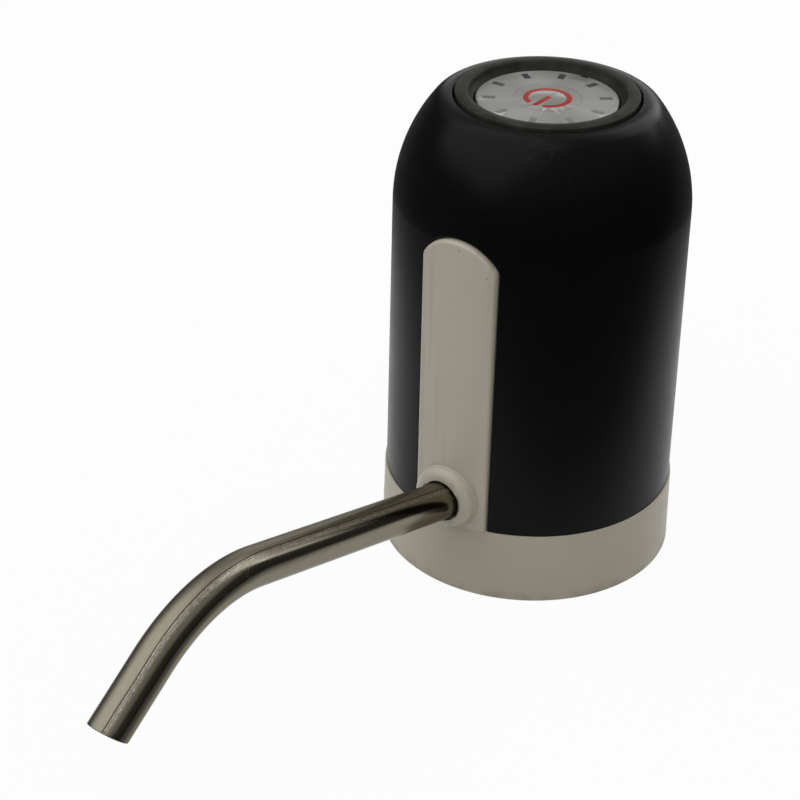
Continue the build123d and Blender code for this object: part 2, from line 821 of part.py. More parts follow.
def marks_up_to(top):
    """The windows' shapes from the floor of their pockets up to a height."""
    marks = Part()
    for k in range(mark_count):
        mark = block(-mark_width / 2, mark_width / 2, mark_ring_radius - mark_length / 2,
                     mark_ring_radius + mark_length / 2, button_top - mark_depth, top)
        marks += Rot(0, 0, (k + 1 / 2) * 360 / mark_count) * mark
    return marks


def power_symbol():
    """Open ring and bar, flush with the face of the cap."""
    return symbol_up_to(button_top)


def symbol_up_to(top):
    """The symbol's shape from the floor of its pocket up to a height."""
    low = button_top - mark_depth
    arc = ring(symbol_radius - symbol_width, symbol_radius, low, top)
    reach = 2 * symbol_radius
    side = reach * tan(radians(symbol_gap_turn / 2))
    wedge = make_face(Polyline([(0, 0), (side, -reach), (-side, -reach)], close=True))
    arc -= Pos(0, 0, low - overrun) * extrude(wedge, amount=top - low + 2 * overrun)
    bar = block(-symbol_width / 2, symbol_width / 2, -symbol_bar_end, symbol_bar_top, low, top)
    return Rot(0, 0, -symbol_turn) * (arc + bar)


def light_guide():
    """Clear plastic ring glued under the cap; it spreads the lamps' light to the marks."""
    outer = button_radius - button_skirt_wall - guide_clearance
    return ring(outer - guide_width, outer, button_under - guide_thickness, button_under)


def control_board():
    """Round circuit board on the bezel's posts."""
    board = disc(board_radius, board_bottom, board_top)
    hole = screw_radius + screw_hole_clearance
    for k in range(snap_count):
        turn = post_turn + k * 360 / snap_count
        board -= Rot(0, 0, turn) * disc(hole, board_bottom - overrun, board_top + overrun, post_ring_radius)
    return board


def control_chips():
    """Controller chip, charge-pump coil and terminal block under the board."""
    low = board_bottom - chip_height
    chip = block(chip_offset - chip_side / 2, chip_offset + chip_side / 2, -chip_side / 2, chip_side / 2,
                 low, board_bottom)
    coil = disc(coil_radius, board_bottom - coil_height, board_bottom, -chip_offset, 0)
    coil = fillet(coil.edges().filter_by(GeomType.CIRCLE).sort_by(Axis.Z)[0], chip_height / 4)
    driver = Pos(0, -chip_offset, (low + board_bottom) / 2) * Box(chip_side, chip_side * 2 / 3, chip_height)
    return chip + coil + driver


def tact_switch():
    """Square switch body with the round pit that the plunger slides in."""
    body = Pos(0, 0, board_top + switch_height / 2) * Box(switch_side, switch_side, switch_height)
    pit_low = plunger_top - plunger_stand - plunger_depth - button_travel - switch_pit_margin
    return body - disc(plunger_radius + plunger_clearance, pit_low, plunger_top + overrun)


def switch_plunger():
    """Round plunger between the switch and the cap's stem."""
    return disc(plunger_radius, plunger_top - plunger_stand - plunger_depth, plunger_top)


def status_leds():
    """Small surface lamps round the switch."""
    lamps = Part()
    for k in range(led_count):
        lamp = Pos(led_ring_radius, 0, board_top + led_height / 2) * Box(led_width, led_length, led_height)
        lamps += Rot(0, 0, -90 + k * 360 / led_count) * lamp
    return lamps


def board_screws():
    """Screws that hold the control board to the bezel's posts."""
    screws = Part()
    for k in range(snap_count):
        turn = post_turn + k * 360 / snap_count
        screws += Rot(0, 0, turn) * screw(post_ring_radius, 0, board_bottom, board_screw_length)
    return screws


def deck_screws():
    """Screws that come up through the deck into the frame's legs and the pump's ears."""
    screws = Part()
    for x, y in deck_screw_places():
        screws += screw(x, y, deck_z, screw_length)
    return screws


def base_screws():
    """Screws that come up through the base ring into the shell's bosses."""
    screws = Part()
    for angle in screw_ring_angles:
        place = screw(screw_ring_radius, 0, base_height - screw_pocket_roof,
                      screw_pocket_roof + base_screw_length)
        screws += Rot(0, 0, angle) * place
    return screws


def inner_frame():
    """Plate on three legs that carries the battery's cradle and a split ring round the motor."""
    inner = can_radius + cap_clearance
    outer = inner + cradle_wall
    body = disc(cradle_radius + cradle_wall, frame_z, frame_top, battery_x, battery_y)
    body += disc(outer, frame_z, frame_top, -pitch_radius, gear_line_y)
    span_x = battery_x + pitch_radius
    span_y = battery_y - gear_line_y
    turn = degrees(asin(span_y / sqrt(span_x ** 2 + span_y ** 2)))
    bridge = Box(sqrt(span_x ** 2 + span_y ** 2), 2 * frame_bridge_half_width, frame_plate_thickness)
    middle = Pos((battery_x - pitch_radius) / 2, (battery_y + gear_line_y) / 2, (frame_z + frame_top) / 2)
    body += middle * Rot(0, 0, turn) * bridge
    for x, y in leg_places:
        body += disc(leg_radius, deck_top, frame_top, x, y)
    body += cradle(turn) + motor_ring(inner, outer, turn)
    body -= disc(inner, frame_z - overrun, frame_z + motor_ring_height + overrun, -pitch_radius, gear_line_y)
    for x, y in leg_places:
        body -= disc(screw_radius + pilot_clearance, deck_top - overrun, frame_z, x, y)
    return body


def cradle(turn):
    """Tall half-open tube for the battery, open on the side away from the motor."""
    tube = ring(cradle_radius, cradle_radius + cradle_wall, frame_z, frame_top + cradle_height,
                battery_x, battery_y)
    gap = Box(4 * cradle_radius, 2 * cradle_opening, 2 * cradle_height)
    place = Pos(battery_x, battery_y, frame_top + cradle_height) * Rot(0, 0, turn)
    return tube - place * Pos(2 * cradle_radius, 0, 0) * gap


def motor_ring(inner, outer, turn):
    """Split ring round the motor, open on the side away from the battery."""
    tube = ring(inner, outer, frame_z, frame_z + motor_ring_height, -pitch_radius, gear_line_y)
    gap = Box(4 * outer, 2 * motor_ring_opening, 2 * motor_ring_height)
    place = Pos(-pitch_radius, gear_line_y, frame_top + motor_ring_height) * Rot(0, 0, turn)
    return tube - place * Pos(-2 * outer, 0, 0) * gap


def battery_cell():
    """Round lithium cell with its raised positive cap."""
    top = battery_top - battery_cap_height
    cell = disc(battery_radius, frame_top, top, battery_x, battery_y)
    cell = fillet(cell.edges().filter_by(GeomType.CIRCLE), battery_cap_height)
    return cell + disc(battery_cap_radius, top - overrun, battery_top, battery_x, battery_y)


def battery_strap():
    """Rubber band round the cradle."""
    inner = cradle_radius + cradle_wall
    return ring(inner, inner + strap_thickness, strap_z, strap_z + strap_height, battery_x, battery_y)


def battery_tabs():
    """Nickel strip welded to the positive cap."""
    reach = battery_radius * tab_reach_share
    return block(battery_x - tab_width / 2, battery_x + tab_width / 2, battery_y - reach, battery_y + reach,
                 battery_top, battery_top + tab_thickness)


def rounded_plate(half_length, half_width, low, high):
    """The pump's outline between two heights."""
    plate = Box(2 * half_length, 2 * half_width, high - low, align=(Align.CENTER, Align.CENTER, Align.MIN))
    plate = fillet(plate.edges().filter_by(Axis.Z), pump_corner_round)
    return Pos(0, gear_line_y, low) * plate


def pump_screw_places():
    """The four corners of the pump where its cover is screwed on."""
    x = pump_half_length - pump_screw_inset
    y = pump_half_width - pump_screw_inset
    return [(sx * x, gear_line_y + sy * y) for sx in (-1, 1) for sy in (-1, 1)]


def pump_body():
    """Lower half of the gear pump: twin bores, inlet and outlet pockets, outlet spout and two ears."""
    body = rounded_plate(pump_half_length, pump_half_width, deck_top, chamber_top)
    for side in (-1, 1):
        body += disc(ear_radius, deck_top, deck_top + ear_height, side * ear_offset, gear_line_y)
        body += block(min(0, side * ear_offset), max(0, side * ear_offset), gear_line_y - ear_radius,
                      gear_line_y + ear_radius, deck_top, deck_top + ear_height)
    front = gear_line_y - pump_half_width
    body += along((0, front + overrun, outlet_z), (0, -1, 0), tail_radius, outlet_length + overrun)
    for side in (-1, 1):
        body -= disc(chamber_radius, chamber_floor, chamber_top + overrun, side * pitch_radius, gear_line_y)
        body -= disc(idler_pin_radius + running_clearance, chamber_floor - pin_seat, chamber_top,
                     side * pitch_radius, gear_line_y)
        body -= disc(screw_radius + pilot_clearance, deck_top - overrun, deck_top + ear_height - overrun,
                     side * ear_offset, gear_line_y)
        port_y = gear_line_y + side * port_pitch
        body -= disc(port_radius, chamber_floor, chamber_top + overrun, 0, port_y)
        body -= block(-port_radius, port_radius, min(port_y, gear_line_y), max(port_y, gear_line_y),
                      chamber_floor, chamber_top + overrun)
    body -= disc(port_radius, deck_top - overrun, chamber_top, 0, gear_line_y + port_pitch)
    body -= along((0, gear_line_y - port_pitch, outlet_z), (0, -1, 0), tail_bore_radius, 2 * pump_half_width)
    for x, y in pump_screw_places():
        body -= disc(screw_radius + screw_hole_clearance, deck_top - overrun, chamber_top + overrun, x, y)
        body -= disc(screw_head_radius + screw_pocket_clearance, deck_top - overrun,
                     deck_top + screw_head_height, x, y)
    return body


def pump_cover():
    """Upper half of the gear pump: seals the bores and takes the motor's hub and the shaft seal."""
    body = rounded_plate(pump_half_length, pump_half_width, chamber_top, cover_top)
    x = -pitch_radius
    seal_low = chamber_top + shaft_seal_floor
    body -= disc(shaft_radius + running_clearance, chamber_top - overrun, cover_top, x, gear_line_y)
    body -= disc(shaft_seal_radius, seal_low, cover_top + overrun, x, gear_line_y)
    body -= disc(hub_radius + hub_clearance, cover_top - hub_height - hub_clearance, cover_top + overrun,
                 x, gear_line_y)
    body -= disc(idler_pin_radius + running_clearance, chamber_top - overrun, chamber_top + pin_seat,
                 pitch_radius, gear_line_y)
    for sx, sy in pump_screw_places():
        body -= disc(screw_radius + pilot_clearance, chamber_top - overrun, cover_top - overrun, sx, sy)
    return body


def pump_screws():
    """Screws that come up through the pump's body into its cover."""
    screws = Part()
    for x, y in pump_screw_places():
        screws += screw(x, y, deck_top + screw_head_height, pump_screw_length)
    return screws


def involute(angle):
    """Involute function of an angle in radians."""
    return tan(angle) - angle


def half_tooth(radius):
    """Half of the tooth's angular thickness at a radius, from the involute of the base circle."""
    thickness = pi * gear_module / 2 - gear_backlash
    at_pitch = thickness / (2 * pitch_radius) + involute(radians(gear_pressure))
    return at_pitch - involute(acos(min(1, gear_base_radius / radius)))


def polar(radius, angle):
    """A point in the plane from a radius and an angle in radians."""
    return (radius * cos(angle), radius * sin(angle))


def gear(turn, bore):
    """Spur gear with involute flanks as arcs, turned by an angle in degrees."""
    middle = (gear_base_radius + gear_tip_radius) / 2
    lines = []
    step = 2 * pi / gear_teeth
    base_half = half_tooth(gear_base_radius)
    mid_half = half_tooth(middle)
    tip_half = half_tooth(gear_tip_radius)
    for k in range(gear_teeth):
        a = k * step
        lines.append(Line(polar(gear_root_radius, a - base_half), polar(gear_base_radius, a - base_half)))
        lines.append(ThreePointArc(polar(gear_base_radius, a - base_half), polar(middle, a - mid_half),
                                   polar(gear_tip_radius, a - tip_half)))
        lines.append(ThreePointArc(polar(gear_tip_radius, a - tip_half), polar(gear_tip_radius, a),
                                   polar(gear_tip_radius, a + tip_half)))
        lines.append(ThreePointArc(polar(gear_tip_radius, a + tip_half), polar(middle, a + mid_half),
                                   polar(gear_base_radius, a + base_half)))
        lines.append(Line(polar(gear_base_radius, a + base_half), polar(gear_root_radius, a + base_half)))
        lines.append(ThreePointArc(polar(gear_root_radius, a + base_half),
                                   polar(gear_root_radius, a + step / 2),
                                   polar(gear_root_radius, a + step - base_half)))
    blank = extrude(make_face(lines), amount=gear_face_width)
    blank = blank - disc(bore, -overrun, gear_face_width + overrun)
    return Pos(0, 0, chamber_floor + gear_end_clearance) * Rot(0, 0, turn) * blank


def drive_gear():
    """Gear on the motor's shaft."""
    return Pos(-pitch_radius, gear_line_y, 0) * gear(0, shaft_radius)


def idler_gear():
    """Second gear, turning on its fixed pin, half a tooth out of step with the first."""
    return Pos(pitch_radius, gear_line_y, 0) * gear(180 / gear_teeth, idler_pin_radius + running_clearance)


def idler_pin():
    """Steel pin held in the pump's floor and cover."""
    return disc(idler_pin_radius, chamber_floor - pin_seat, chamber_top + pin_seat, pitch_radius, gear_line_y)


def shaft_seal():
    """Rubber lip seal round the shaft in the pump's cover."""
    low = chamber_top + shaft_seal_floor
    return ring(shaft_radius + running_clearance, shaft_seal_radius, low, low + shaft_seal_thickness,
                -pitch_radius, gear_line_y)


def delivery_tube():
    """Short silicone tube from the pump's outlet to the tail of the spout's socket."""
    front = gear_line_y - pump_half_width
    tail_end = spout_inset + socket_bottom_gap + socket_end_wall + tube_end_gap
    rise_to_meet = (spout_pivot_z - outlet_z) / tan(radians(spout_rise))
    meet_y = spout_pivot.Y + rise_to_meet
    tangent = tube_bend_radius * tan(radians(spout_rise / 2))
    meet = Vector(0, meet_y, outlet_z)
    far = on_axis(-tail_end)
    inner = tail_radius + tube_clearance
    outer = inner + tube_wall
    return (tube_run(outer, front - tube_end_gap, meet, tangent, far)
            - tube_run(inner, front + overrun, meet, tangent, far + spout_dir * overrun))


def tube_run(radius, start_y, meet, tangent, far):
    """Straight, bend and straight of the delivery tube at one radius."""
    first_length = start_y - (meet.Y + tangent)
    bend_start = meet + Vector(0, tangent, 0)
    centre = bend_start + Vector(0, 0, tube_bend_radius)
    first = along((0, start_y, outlet_z), (0, -1, 0), radius, first_length)
    section = Plane(origin=bend_start, x_dir=(1, 0, 0), z_dir=(0, -1, 0)) * Circle(radius)
    bend = revolve(section, Axis(centre, (-1, 0, 0)), revolution_arc=spout_rise)
    bend_end = meet + spout_dir * tangent
    second = along(bend_end, spout_dir, radius, (far - bend_end).length)
    return first + bend + second


def motor_can():
    """Drawn steel can, closed at the pump's end, with a hub and two vent slots."""
    x = -pitch_radius
    body = disc(can_radius, cover_top, motor_top, x, gear_line_y)
    body = fillet(body.edges().filter_by(GeomType.CIRCLE).sort_by(Axis.Z)[0], can_wall)
    body -= disc(can_radius - can_wall, cover_top + can_wall, motor_top + overrun, x, gear_line_y)
    body += disc(hub_radius, cover_top - hub_height, cover_top + can_wall, x, gear_line_y)
    body -= disc(bush_radius, cover_top - hub_height - overrun, cover_top + can_wall + overrun,
                 x, gear_line_y)
    middle = motor_top - end_cap_lip - vent_length
    body -= block(x - vent_width, x + vent_width, gear_line_y - 2 * can_radius, gear_line_y + 2 * can_radius,
                  middle - vent_length / 2, middle + vent_length / 2)
    return body


def motor_bushes():
    """Sintered bronze bushes that the shaft turns in."""
    x = -pitch_radius
    bore = shaft_radius + running_clearance
    front = ring(bore, bush_radius, cover_top - hub_height, cover_top + can_wall, x, gear_line_y)
    rear = ring(bore, bush_radius, motor_top, motor_top + end_cap_height, x, gear_line_y)
    return front + rear


def motor_end_cap():
    """Moulded end cap with a lip inside the can and a hub for the rear bush."""
    x = -pitch_radius
    top = motor_top + end_cap_height
    body = disc(can_radius, motor_top, top, x, gear_line_y)
    body = fillet(body.edges().filter_by(GeomType.CIRCLE).sort_by(Axis.Z)[-1], end_cap_height / 4)
    lip = can_radius - can_wall - cap_clearance
    body += ring(lip - can_wall, lip, motor_top - end_cap_lip, motor_top + end_cap_height / 2, x, gear_line_y)
    body += disc(end_cap_hub_radius, top, top + end_cap_hub_height, x, gear_line_y)
    body -= disc(bush_radius, motor_top - overrun, top, x, gear_line_y)
    for side in (-1, 1):
        y = gear_line_y + side * terminal_offset
        body -= block(x - terminal_width / 2, x + terminal_width / 2, y - terminal_thickness / 2,
                      y + terminal_thickness / 2, 0, shell_top)
    return body


def motor_terminals():
    """Two brass blades through the end cap."""
    x = -pitch_radius
    blades = Part()
    for side in (-1, 1):
        y = gear_line_y + side * terminal_offset
        blades += block(x - terminal_width / 2, x + terminal_width / 2, y - terminal_thickness / 2,
                        y + terminal_thickness / 2, motor_top - end_cap_lip,
                        motor_top + end_cap_height + terminal_height)
    return blades


def armature_z():
    """Lower face of the armature's core, in the middle of the magnets."""
    return cover_top + (can_length - core_length) / 2 - end_cap_lip


def motor_magnets():
    """Two curved magnets against the inside of the can."""
    x = -pitch_radius
    outer = can_radius - can_wall
    low = armature_z() - (magnet_length - core_length) / 2
    body = ring(outer - magnet_thickness, outer, low, low + magnet_length, x, gear_line_y)
    return body - block(x - 2 * can_radius, x + 2 * can_radius, gear_line_y - magnet_gap_half_width,
                        gear_line_y + magnet_gap_half_width, 0, shell_top)


def motor_armature():
    """Three-pole laminated core on the shaft."""
    low = armature_z()
    high = low + core_length
    body = ring(core_radius - core_shoe_thickness, core_radius, low, high)
    body += disc(core_hub_radius, low, high)
    for k in range(pole_count):
        arm = block(0, core_radius - core_shoe_thickness / 2, -core_arm_width / 2, core_arm_width / 2,
                    low, high)
        body += Rot(0, 0, k * 360 / pole_count) * arm
    for k in range(pole_count):
        slot = block(core_hub_radius + core_shoe_thickness, 2 * core_radius, -core_slot_half_width,
                     core_slot_half_width, low - overrun, high + overrun)
        body -= Rot(0, 0, (k + 1 / 2) * 360 / pole_count) * slot
    body -= disc(shaft_radius, low - overrun, high + overrun)
    return Pos(-pitch_radius, gear_line_y, 0) * body


def armature_windings():
    """Copper coils round the three arms of the core."""
    low = armature_z() - winding_overhang
    high = armature_z() + core_length + winding_overhang
    outer = core_radius - core_shoe_thickness - winding_margin
    coils = Part()
    for k in range(pole_count):
        coil = block(winding_inner, outer, -winding_half_width, winding_half_width, low, high)
        coil = fillet(coil.edges().filter_by(Axis.X), winding_overhang - winding_margin)
        coil &= disc(outer, low, high)
        lane = sin(radians(180 / pole_count))
        coil &= coil_sector(low, high, lane)
        arm_half = core_arm_width / 2 + winding_margin / 2
        coil -= block(0, 2 * outer, -arm_half, arm_half, armature_z() - winding_margin,
                      armature_z() + core_length + winding_margin)
        coils += Rot(0, 0, k * 360 / pole_count) * coil
    return Pos(-pitch_radius, gear_line_y, 0) * coils


def coil_sector(low, high, lane):
    """The third of the circle that one coil may fill, as a kite-shaped prism."""
    reach = 2 * core_radius
    wide = reach * lane - winding_margin
    corners = [(winding_margin, 0), (reach, wide), (2 * reach, 0), (reach, -wide)]
    return Pos(0, 0, low) * extrude(make_face(Polyline(corners, close=True)), amount=high - low)


def commutator():
    """Three copper segments round the shaft above the core."""
    low = armature_z() + core_length + winding_overhang + winding_margin
    body = ring(shaft_radius, commutator_radius, low, low + commutator_length)
    for k in range(pole_count):
        cut = block(shaft_radius + commutator_slot, 2 * commutator_radius, -commutator_slot / 2,
                    commutator_slot / 2, low - overrun, low + commutator_length + overrun)
        body -= Rot(0, 0, (k + 1 / 2) * 360 / pole_count) * cut
    return Pos(-pitch_radius, gear_line_y, 0) * body


def motor_shaft():
    """Steel shaft from the drive gear to the rear bush."""
    low = chamber_floor + gear_end_clearance
    high = motor_top + end_cap_height - gear_end_clearance
    return disc(shaft_radius, low, high, -pitch_radius, gear_line_y)


def charge_board():
    """Small circuit board in the rear rails."""
    return block(-charge_half_width, charge_half_width, charge_front_y, charge_rear_y, charge_z,
                 charge_z + charge_board_thickness)


def usb_socket():
    """Bent steel shell of the charging socket with bevelled lower corners, open to the rear."""
    low = charge_z + charge_board_thickness
    outer = usb_section(usb_half_width, low, low + usb_height, usb_bevel)
    inner = usb_section(usb_half_width - usb_wall, low + usb_wall, low + usb_height - usb_wall,
                        usb_bevel - usb_wall / 2)
    body = extrude(outer, amount=usb_depth, dir=(0, -1, 0))
    return body - extrude(inner, amount=usb_cavity, dir=(0, -1, 0))


def usb_section(half, low, high, bevel):
    """Section of the socket at its mouth."""
    points = [(-half, high), (-half, low + bevel), (-half + bevel, low), (half - bevel, low),
              (half, low + bevel), (half, high)]
    return make_face(Polyline([(x, usb_mouth_y, z) for x, z in points], close=True))


def usb_tongue():
    """Moulded contact tongue inside the charging socket."""
    low = charge_z + charge_board_thickness + usb_height / 2
    return block(-usb_tongue_half_width, usb_tongue_half_width, usb_mouth_y - usb_cavity,
                 usb_mouth_y - usb_wall, low, low + usb_tongue_thickness)


def charge_chips():
    """Charging chips and their indicator on the charging board."""
    low = charge_z + charge_board_thickness
    parts = Part()
    for side in (-1, 1):
        chip = Box(charge_chip_width, charge_chip_length, charge_chip_height)
        parts += Pos(side * charge_chip_pitch / 2, charge_front_y + charge_chip_setback,
                     low + charge_chip_height / 2) * chip
    led_y = lamp_start() - charge_led_length
    parts += Pos(lamp_x, led_y, low + usb_height / 2) * Box(charge_led_width, charge_led_length, usb_height)
    return parts


def lamp_start():
    """Inner end of the lamp's light pipe."""
    outside = sqrt(shell_foot_radius ** 2 - lamp_x ** 2)
    return outside + lamp_proud - lamp_length


def charge_lamp():
    """Clear light pipe through the rear wall beside the socket, with a domed end."""
    centre_z = charge_z + charge_board_thickness + usb_height / 2
    pipe = Cylinder(lamp_radius, lamp_length, align=(Align.CENTER, Align.CENTER, Align.MIN))
    pipe = fillet(pipe.edges().filter_by(GeomType.CIRCLE).sort_by(Axis.Z)[-1], lamp_radius / 2)
    return Plane(origin=(lamp_x, lamp_start(), centre_z), x_dir=(1, 0, 0), z_dir=(0, 1, 0)) * pipe


nodes = {
    "base_ring": base_ring,
    "neck_seal": neck_seal,
    "inlet_nozzle": inlet_nozzle,
    "inlet_gasket": inlet_gasket,
    "upper_shell": upper_shell,
    "front_strip": front_strip,
    "spout_tube": spout_tube,
    "spout_seal": spout_seal,
    "top_bezel": top_bezel,
    "button_cap": button_cap,
    "power_symbol": power_symbol,
    "dial_marks": dial_marks,
    "light_guide": light_guide,
    "control_board": control_board,
    "control_chips": control_chips,
    "tact_switch": tact_switch,
    "switch_plunger": switch_plunger,
    "status_leds": status_leds,
    "board_screws": board_screws,
    "deck_screws": deck_screws,
    "base_screws": base_screws,
    "inner_frame": inner_frame,
    "battery_cell": battery_cell,
    "battery_strap": battery_strap,
    "battery_tabs": battery_tabs,
    "pump_body": pump_body,
    "pump_cover": pump_cover,
    "pump_screws": pump_screws,
    "drive_gear": drive_gear,
    "idler_gear": idler_gear,
    "idler_pin": idler_pin,
    "shaft_seal": shaft_seal,
    "delivery_tube": delivery_tube,
    "motor_can": motor_can,
    "motor_bushes": motor_bushes,
    "motor_end_cap": motor_end_cap,
    "motor_terminals": motor_terminals,
    "motor_magnets": motor_magnets,
    "motor_armature": motor_armature,
    "armature_windings": armature_windings,
    "commutator": commutator,
    "motor_shaft": motor_shaft,
    "charge_board": charge_board,
    "usb_socket": usb_socket,
    "usb_tongue": usb_tongue,
    "charge_chips": charge_chips,
    "charge_lamp": charge_lamp,
}

os.makedirs("parts", exist_ok=True)
for name, make in nodes.items():
    export_step(make(), "parts/" + name + ".step")
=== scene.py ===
import math

import bmesh
import bpy
import numpy as np
from mathutils import Matrix, Vector


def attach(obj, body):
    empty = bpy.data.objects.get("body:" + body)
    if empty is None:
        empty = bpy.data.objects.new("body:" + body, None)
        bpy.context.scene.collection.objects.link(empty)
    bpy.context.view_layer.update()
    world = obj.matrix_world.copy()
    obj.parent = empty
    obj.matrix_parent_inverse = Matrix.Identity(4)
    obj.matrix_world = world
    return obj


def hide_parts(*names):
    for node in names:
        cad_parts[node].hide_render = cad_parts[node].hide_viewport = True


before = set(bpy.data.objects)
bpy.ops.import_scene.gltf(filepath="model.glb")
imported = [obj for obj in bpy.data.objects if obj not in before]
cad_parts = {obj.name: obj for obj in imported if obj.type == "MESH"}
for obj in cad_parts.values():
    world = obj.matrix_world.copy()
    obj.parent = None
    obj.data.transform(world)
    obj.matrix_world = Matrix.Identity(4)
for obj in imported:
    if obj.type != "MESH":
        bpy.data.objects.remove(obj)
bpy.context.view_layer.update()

# The view. The camera stands a little over half a metre away, above the part's front right,
# and looks down on it with a long lens.
mm = 0.001
camera_place = Vector((256.7, -427.2, 329.0)) * mm
camera_heading = math.radians(34.87)
camera_tilt = math.radians(59.47)
camera_roll = math.radians(1.21)
camera_lens = 100.9
sensor_width = 36.0

camera_data = bpy.data.cameras.new("photo_camera")
camera_data.lens = camera_lens
camera_data.sensor_width = sensor_width
camera = bpy.data.objects.new("photo_camera", camera_data)
camera.matrix_world = (Matrix.Translation(camera_place) @ Matrix.Rotation(camera_heading, 4, "Z")
                       @ Matrix.Rotation(camera_tilt, 4, "X") @ Matrix.Rotation(camera_roll, 4, "Z"))
bpy.context.collection.objects.link(camera)
scene = bpy.context.scene
scene.camera = camera
scene.view_settings.view_transform = "Standard"


# The stage: a plain pale table top under one broad soft lamp in front, with a smaller one behind, in
# a dim room. Polished surfaces mirror only the table near the part, the upper room and a bright wall
# low behind: the far table, the front right and the rest of the horizon are dark in them.
class Shade:
    """A shader socket in an expression: each operator adds the Math node that works it out."""

    def __init__(self, tree, socket=None):
        self.tree = tree
        self.socket = socket

    def node(self, kind, settings, sockets, output=0):
        """Adds a node of any type: its settings first, then the values or links of its sockets."""
        made = self.tree.nodes.new(kind)
        for name, value in settings.items():
            setattr(made, name, value)
        for key, value in sockets.items():
            if isinstance(value, Shade):
                self.tree.links.new(value.socket, made.inputs[key])
            else:
                made.inputs[key].default_value = value
        return Shade(self.tree, made.outputs[output])

    def also(self, output):
        """Another output of the node that this one comes from."""
        return Shade(self.tree, self.socket.node.outputs[output])

    def maths(self, operation, *terms):
        return self.node("ShaderNodeMath", {"operation": operation}, dict(enumerate(terms)))

    def __add__(self, other):
        return self.maths("ADD", self, other)

    def __sub__(self, other):
        return self.maths("SUBTRACT", self, other)

    def __rsub__(self, other):
        return self.maths("SUBTRACT", other, self)

    def __mul__(self, other):
        return self.maths("MULTIPLY", self, other)

    def __abs__(self):
        return self.maths("ABSOLUTE", self)

    __radd__ = __add__
    __rmul__ = __mul__


def paint(red, green, blue):
    """A screen colour from 0 to 255 as the linear light that a shader takes."""
    screen = np.array([red, green, blue]) / 255
    linear = np.where(screen > 0.04045, ((screen + 0.055) / 1.055) ** 2.4, screen / 12.92)
    return (*linear.tolist(), 1)


def new_material(name):
    """A material, its Principled shader and a first term for expressions in its tree."""
    made = bpy.data.materials.new(name)
    made.use_nodes = True
    return made, made.node_tree.nodes["Principled BSDF"], Shade(made.node_tree)


def plug(shader, values):
    """Sets the shader's sockets: an expression is linked, and a plain value is written on the socket."""
    for name, value in values.items():
        if isinstance(value, Shade):
            value.tree.links.new(value.socket, shader.inputs[name])
        else:
            shader.inputs[name].default_value = value


def step_up(value, low, high):
    """0 below low, 1 above high, and a smooth step between them."""
    sockets = {"Value": value, "From Min": low, "From Max": high}
    return value.node("ShaderNodeMapRange", {"interpolation_type": "SMOOTHSTEP"}, sockets)


lamp_aim = Vector((0, 0, 60.0)) * mm


def soft_lamp(name, place, size, power):
    """A square area lamp that faces the part's middle."""
    data = bpy.data.lights.new(name, "AREA")
    data.size = size
    data.energy = power
    lamp = bpy.data.objects.new(name, data)
    lamp.location = place
    lamp.rotation_euler = (lamp_aim - place).to_track_quat("-Z", "Y").to_euler()
    lamp.visible_camera = False
    bpy.context.collection.objects.link(lamp)


floor_reach = 3.0
floor_gap = 0.02 * mm
floor_colour = paint(196, 196, 194)
floor_white_share = 0.96
table_lit_to, table_dark_from, table_loss = 0.1, 0.24, 0.88
side_lit_to, side_dark_from, side_loss = 0.055, 0.11, 0.75
unlit_heading = math.radians(-25)

floor_mesh = bpy.data.meshes.new("floor")
corners = [(x * floor_reach, y * floor_reach, -floor_gap)
           for x, y in ((-1, -1), (1, -1), (1, 1), (-1, 1))]
floor_mesh.from_pydata(corners, [], [(0, 1, 2, 3)])
floor = bpy.data.objects.new("floor", floor_mesh)
bpy.context.collection.objects.link(floor)
floor_material, floor_shader, term = new_material("table_top")
straight = term.node("ShaderNodeLightPath", {}, {}, "Is Camera Ray")
mirrored = straight.maths("MAXIMUM", straight.also("Is Glossy Ray"), straight.also("Is Transmission Ray"))
shown = straight.maths("MAXIMUM", straight, mirrored)
plug(floor_shader, {"Base Color": floor_colour, "Roughness": 0.9, "Specular IOR Level": 0.1})
white = term.node("ShaderNodeEmission", {}, {"Color": (1, 1, 1, 1), "Strength": 1.0})
lit = Shade(term.tree, floor_shader.outputs["BSDF"])
surface = term.node("ShaderNodeMixShader", {}, {0: shown * floor_white_share, 1: lit, 2: white})
spot = term.node("ShaderNodeTexCoord", {}, {}, "Object")
away = spot.node("ShaderNodeVectorMath", {"operation": "LENGTH"}, {0: spot}, "Value")
flat = spot.node("ShaderNodeSeparateXYZ", {}, {0: spot})
aside = flat * math.cos(unlit_heading) + flat.also("Y") * math.sin(unlit_heading)
near_light = 1 - step_up(away, table_lit_to, table_dark_from) * table_loss
near_light = near_light * (1 - step_up(aside, side_lit_to, side_dark_from) * side_loss)
unlit = term.node("ShaderNodeEmission", {}, {"Color": (0, 0, 0, 1), "Strength": 0.0})
surface = term.node("ShaderNodeMixShader", {}, {0: mirrored * (1 - near_light), 1: surface, 2: unlit})
floor_tree = floor_material.node_tree
floor_tree.links.new(surface.socket, floor_tree.nodes["Material Output"].inputs[0])
floor_mesh.materials.append(floor_material)

room_light = 0.4
side_light = 0.3
upper_light = 0.4
horizon_light = 0.06
rear_light = 2.1
rear_heading = math.radians(108)
upper_starts, upper_full = 0.28, 0.6
wall_foot, wall_full, wall_fades, wall_top = 0.0, 0.12, 0.24, 0.34
wall_edge, wall_core = 0.84, 0.92

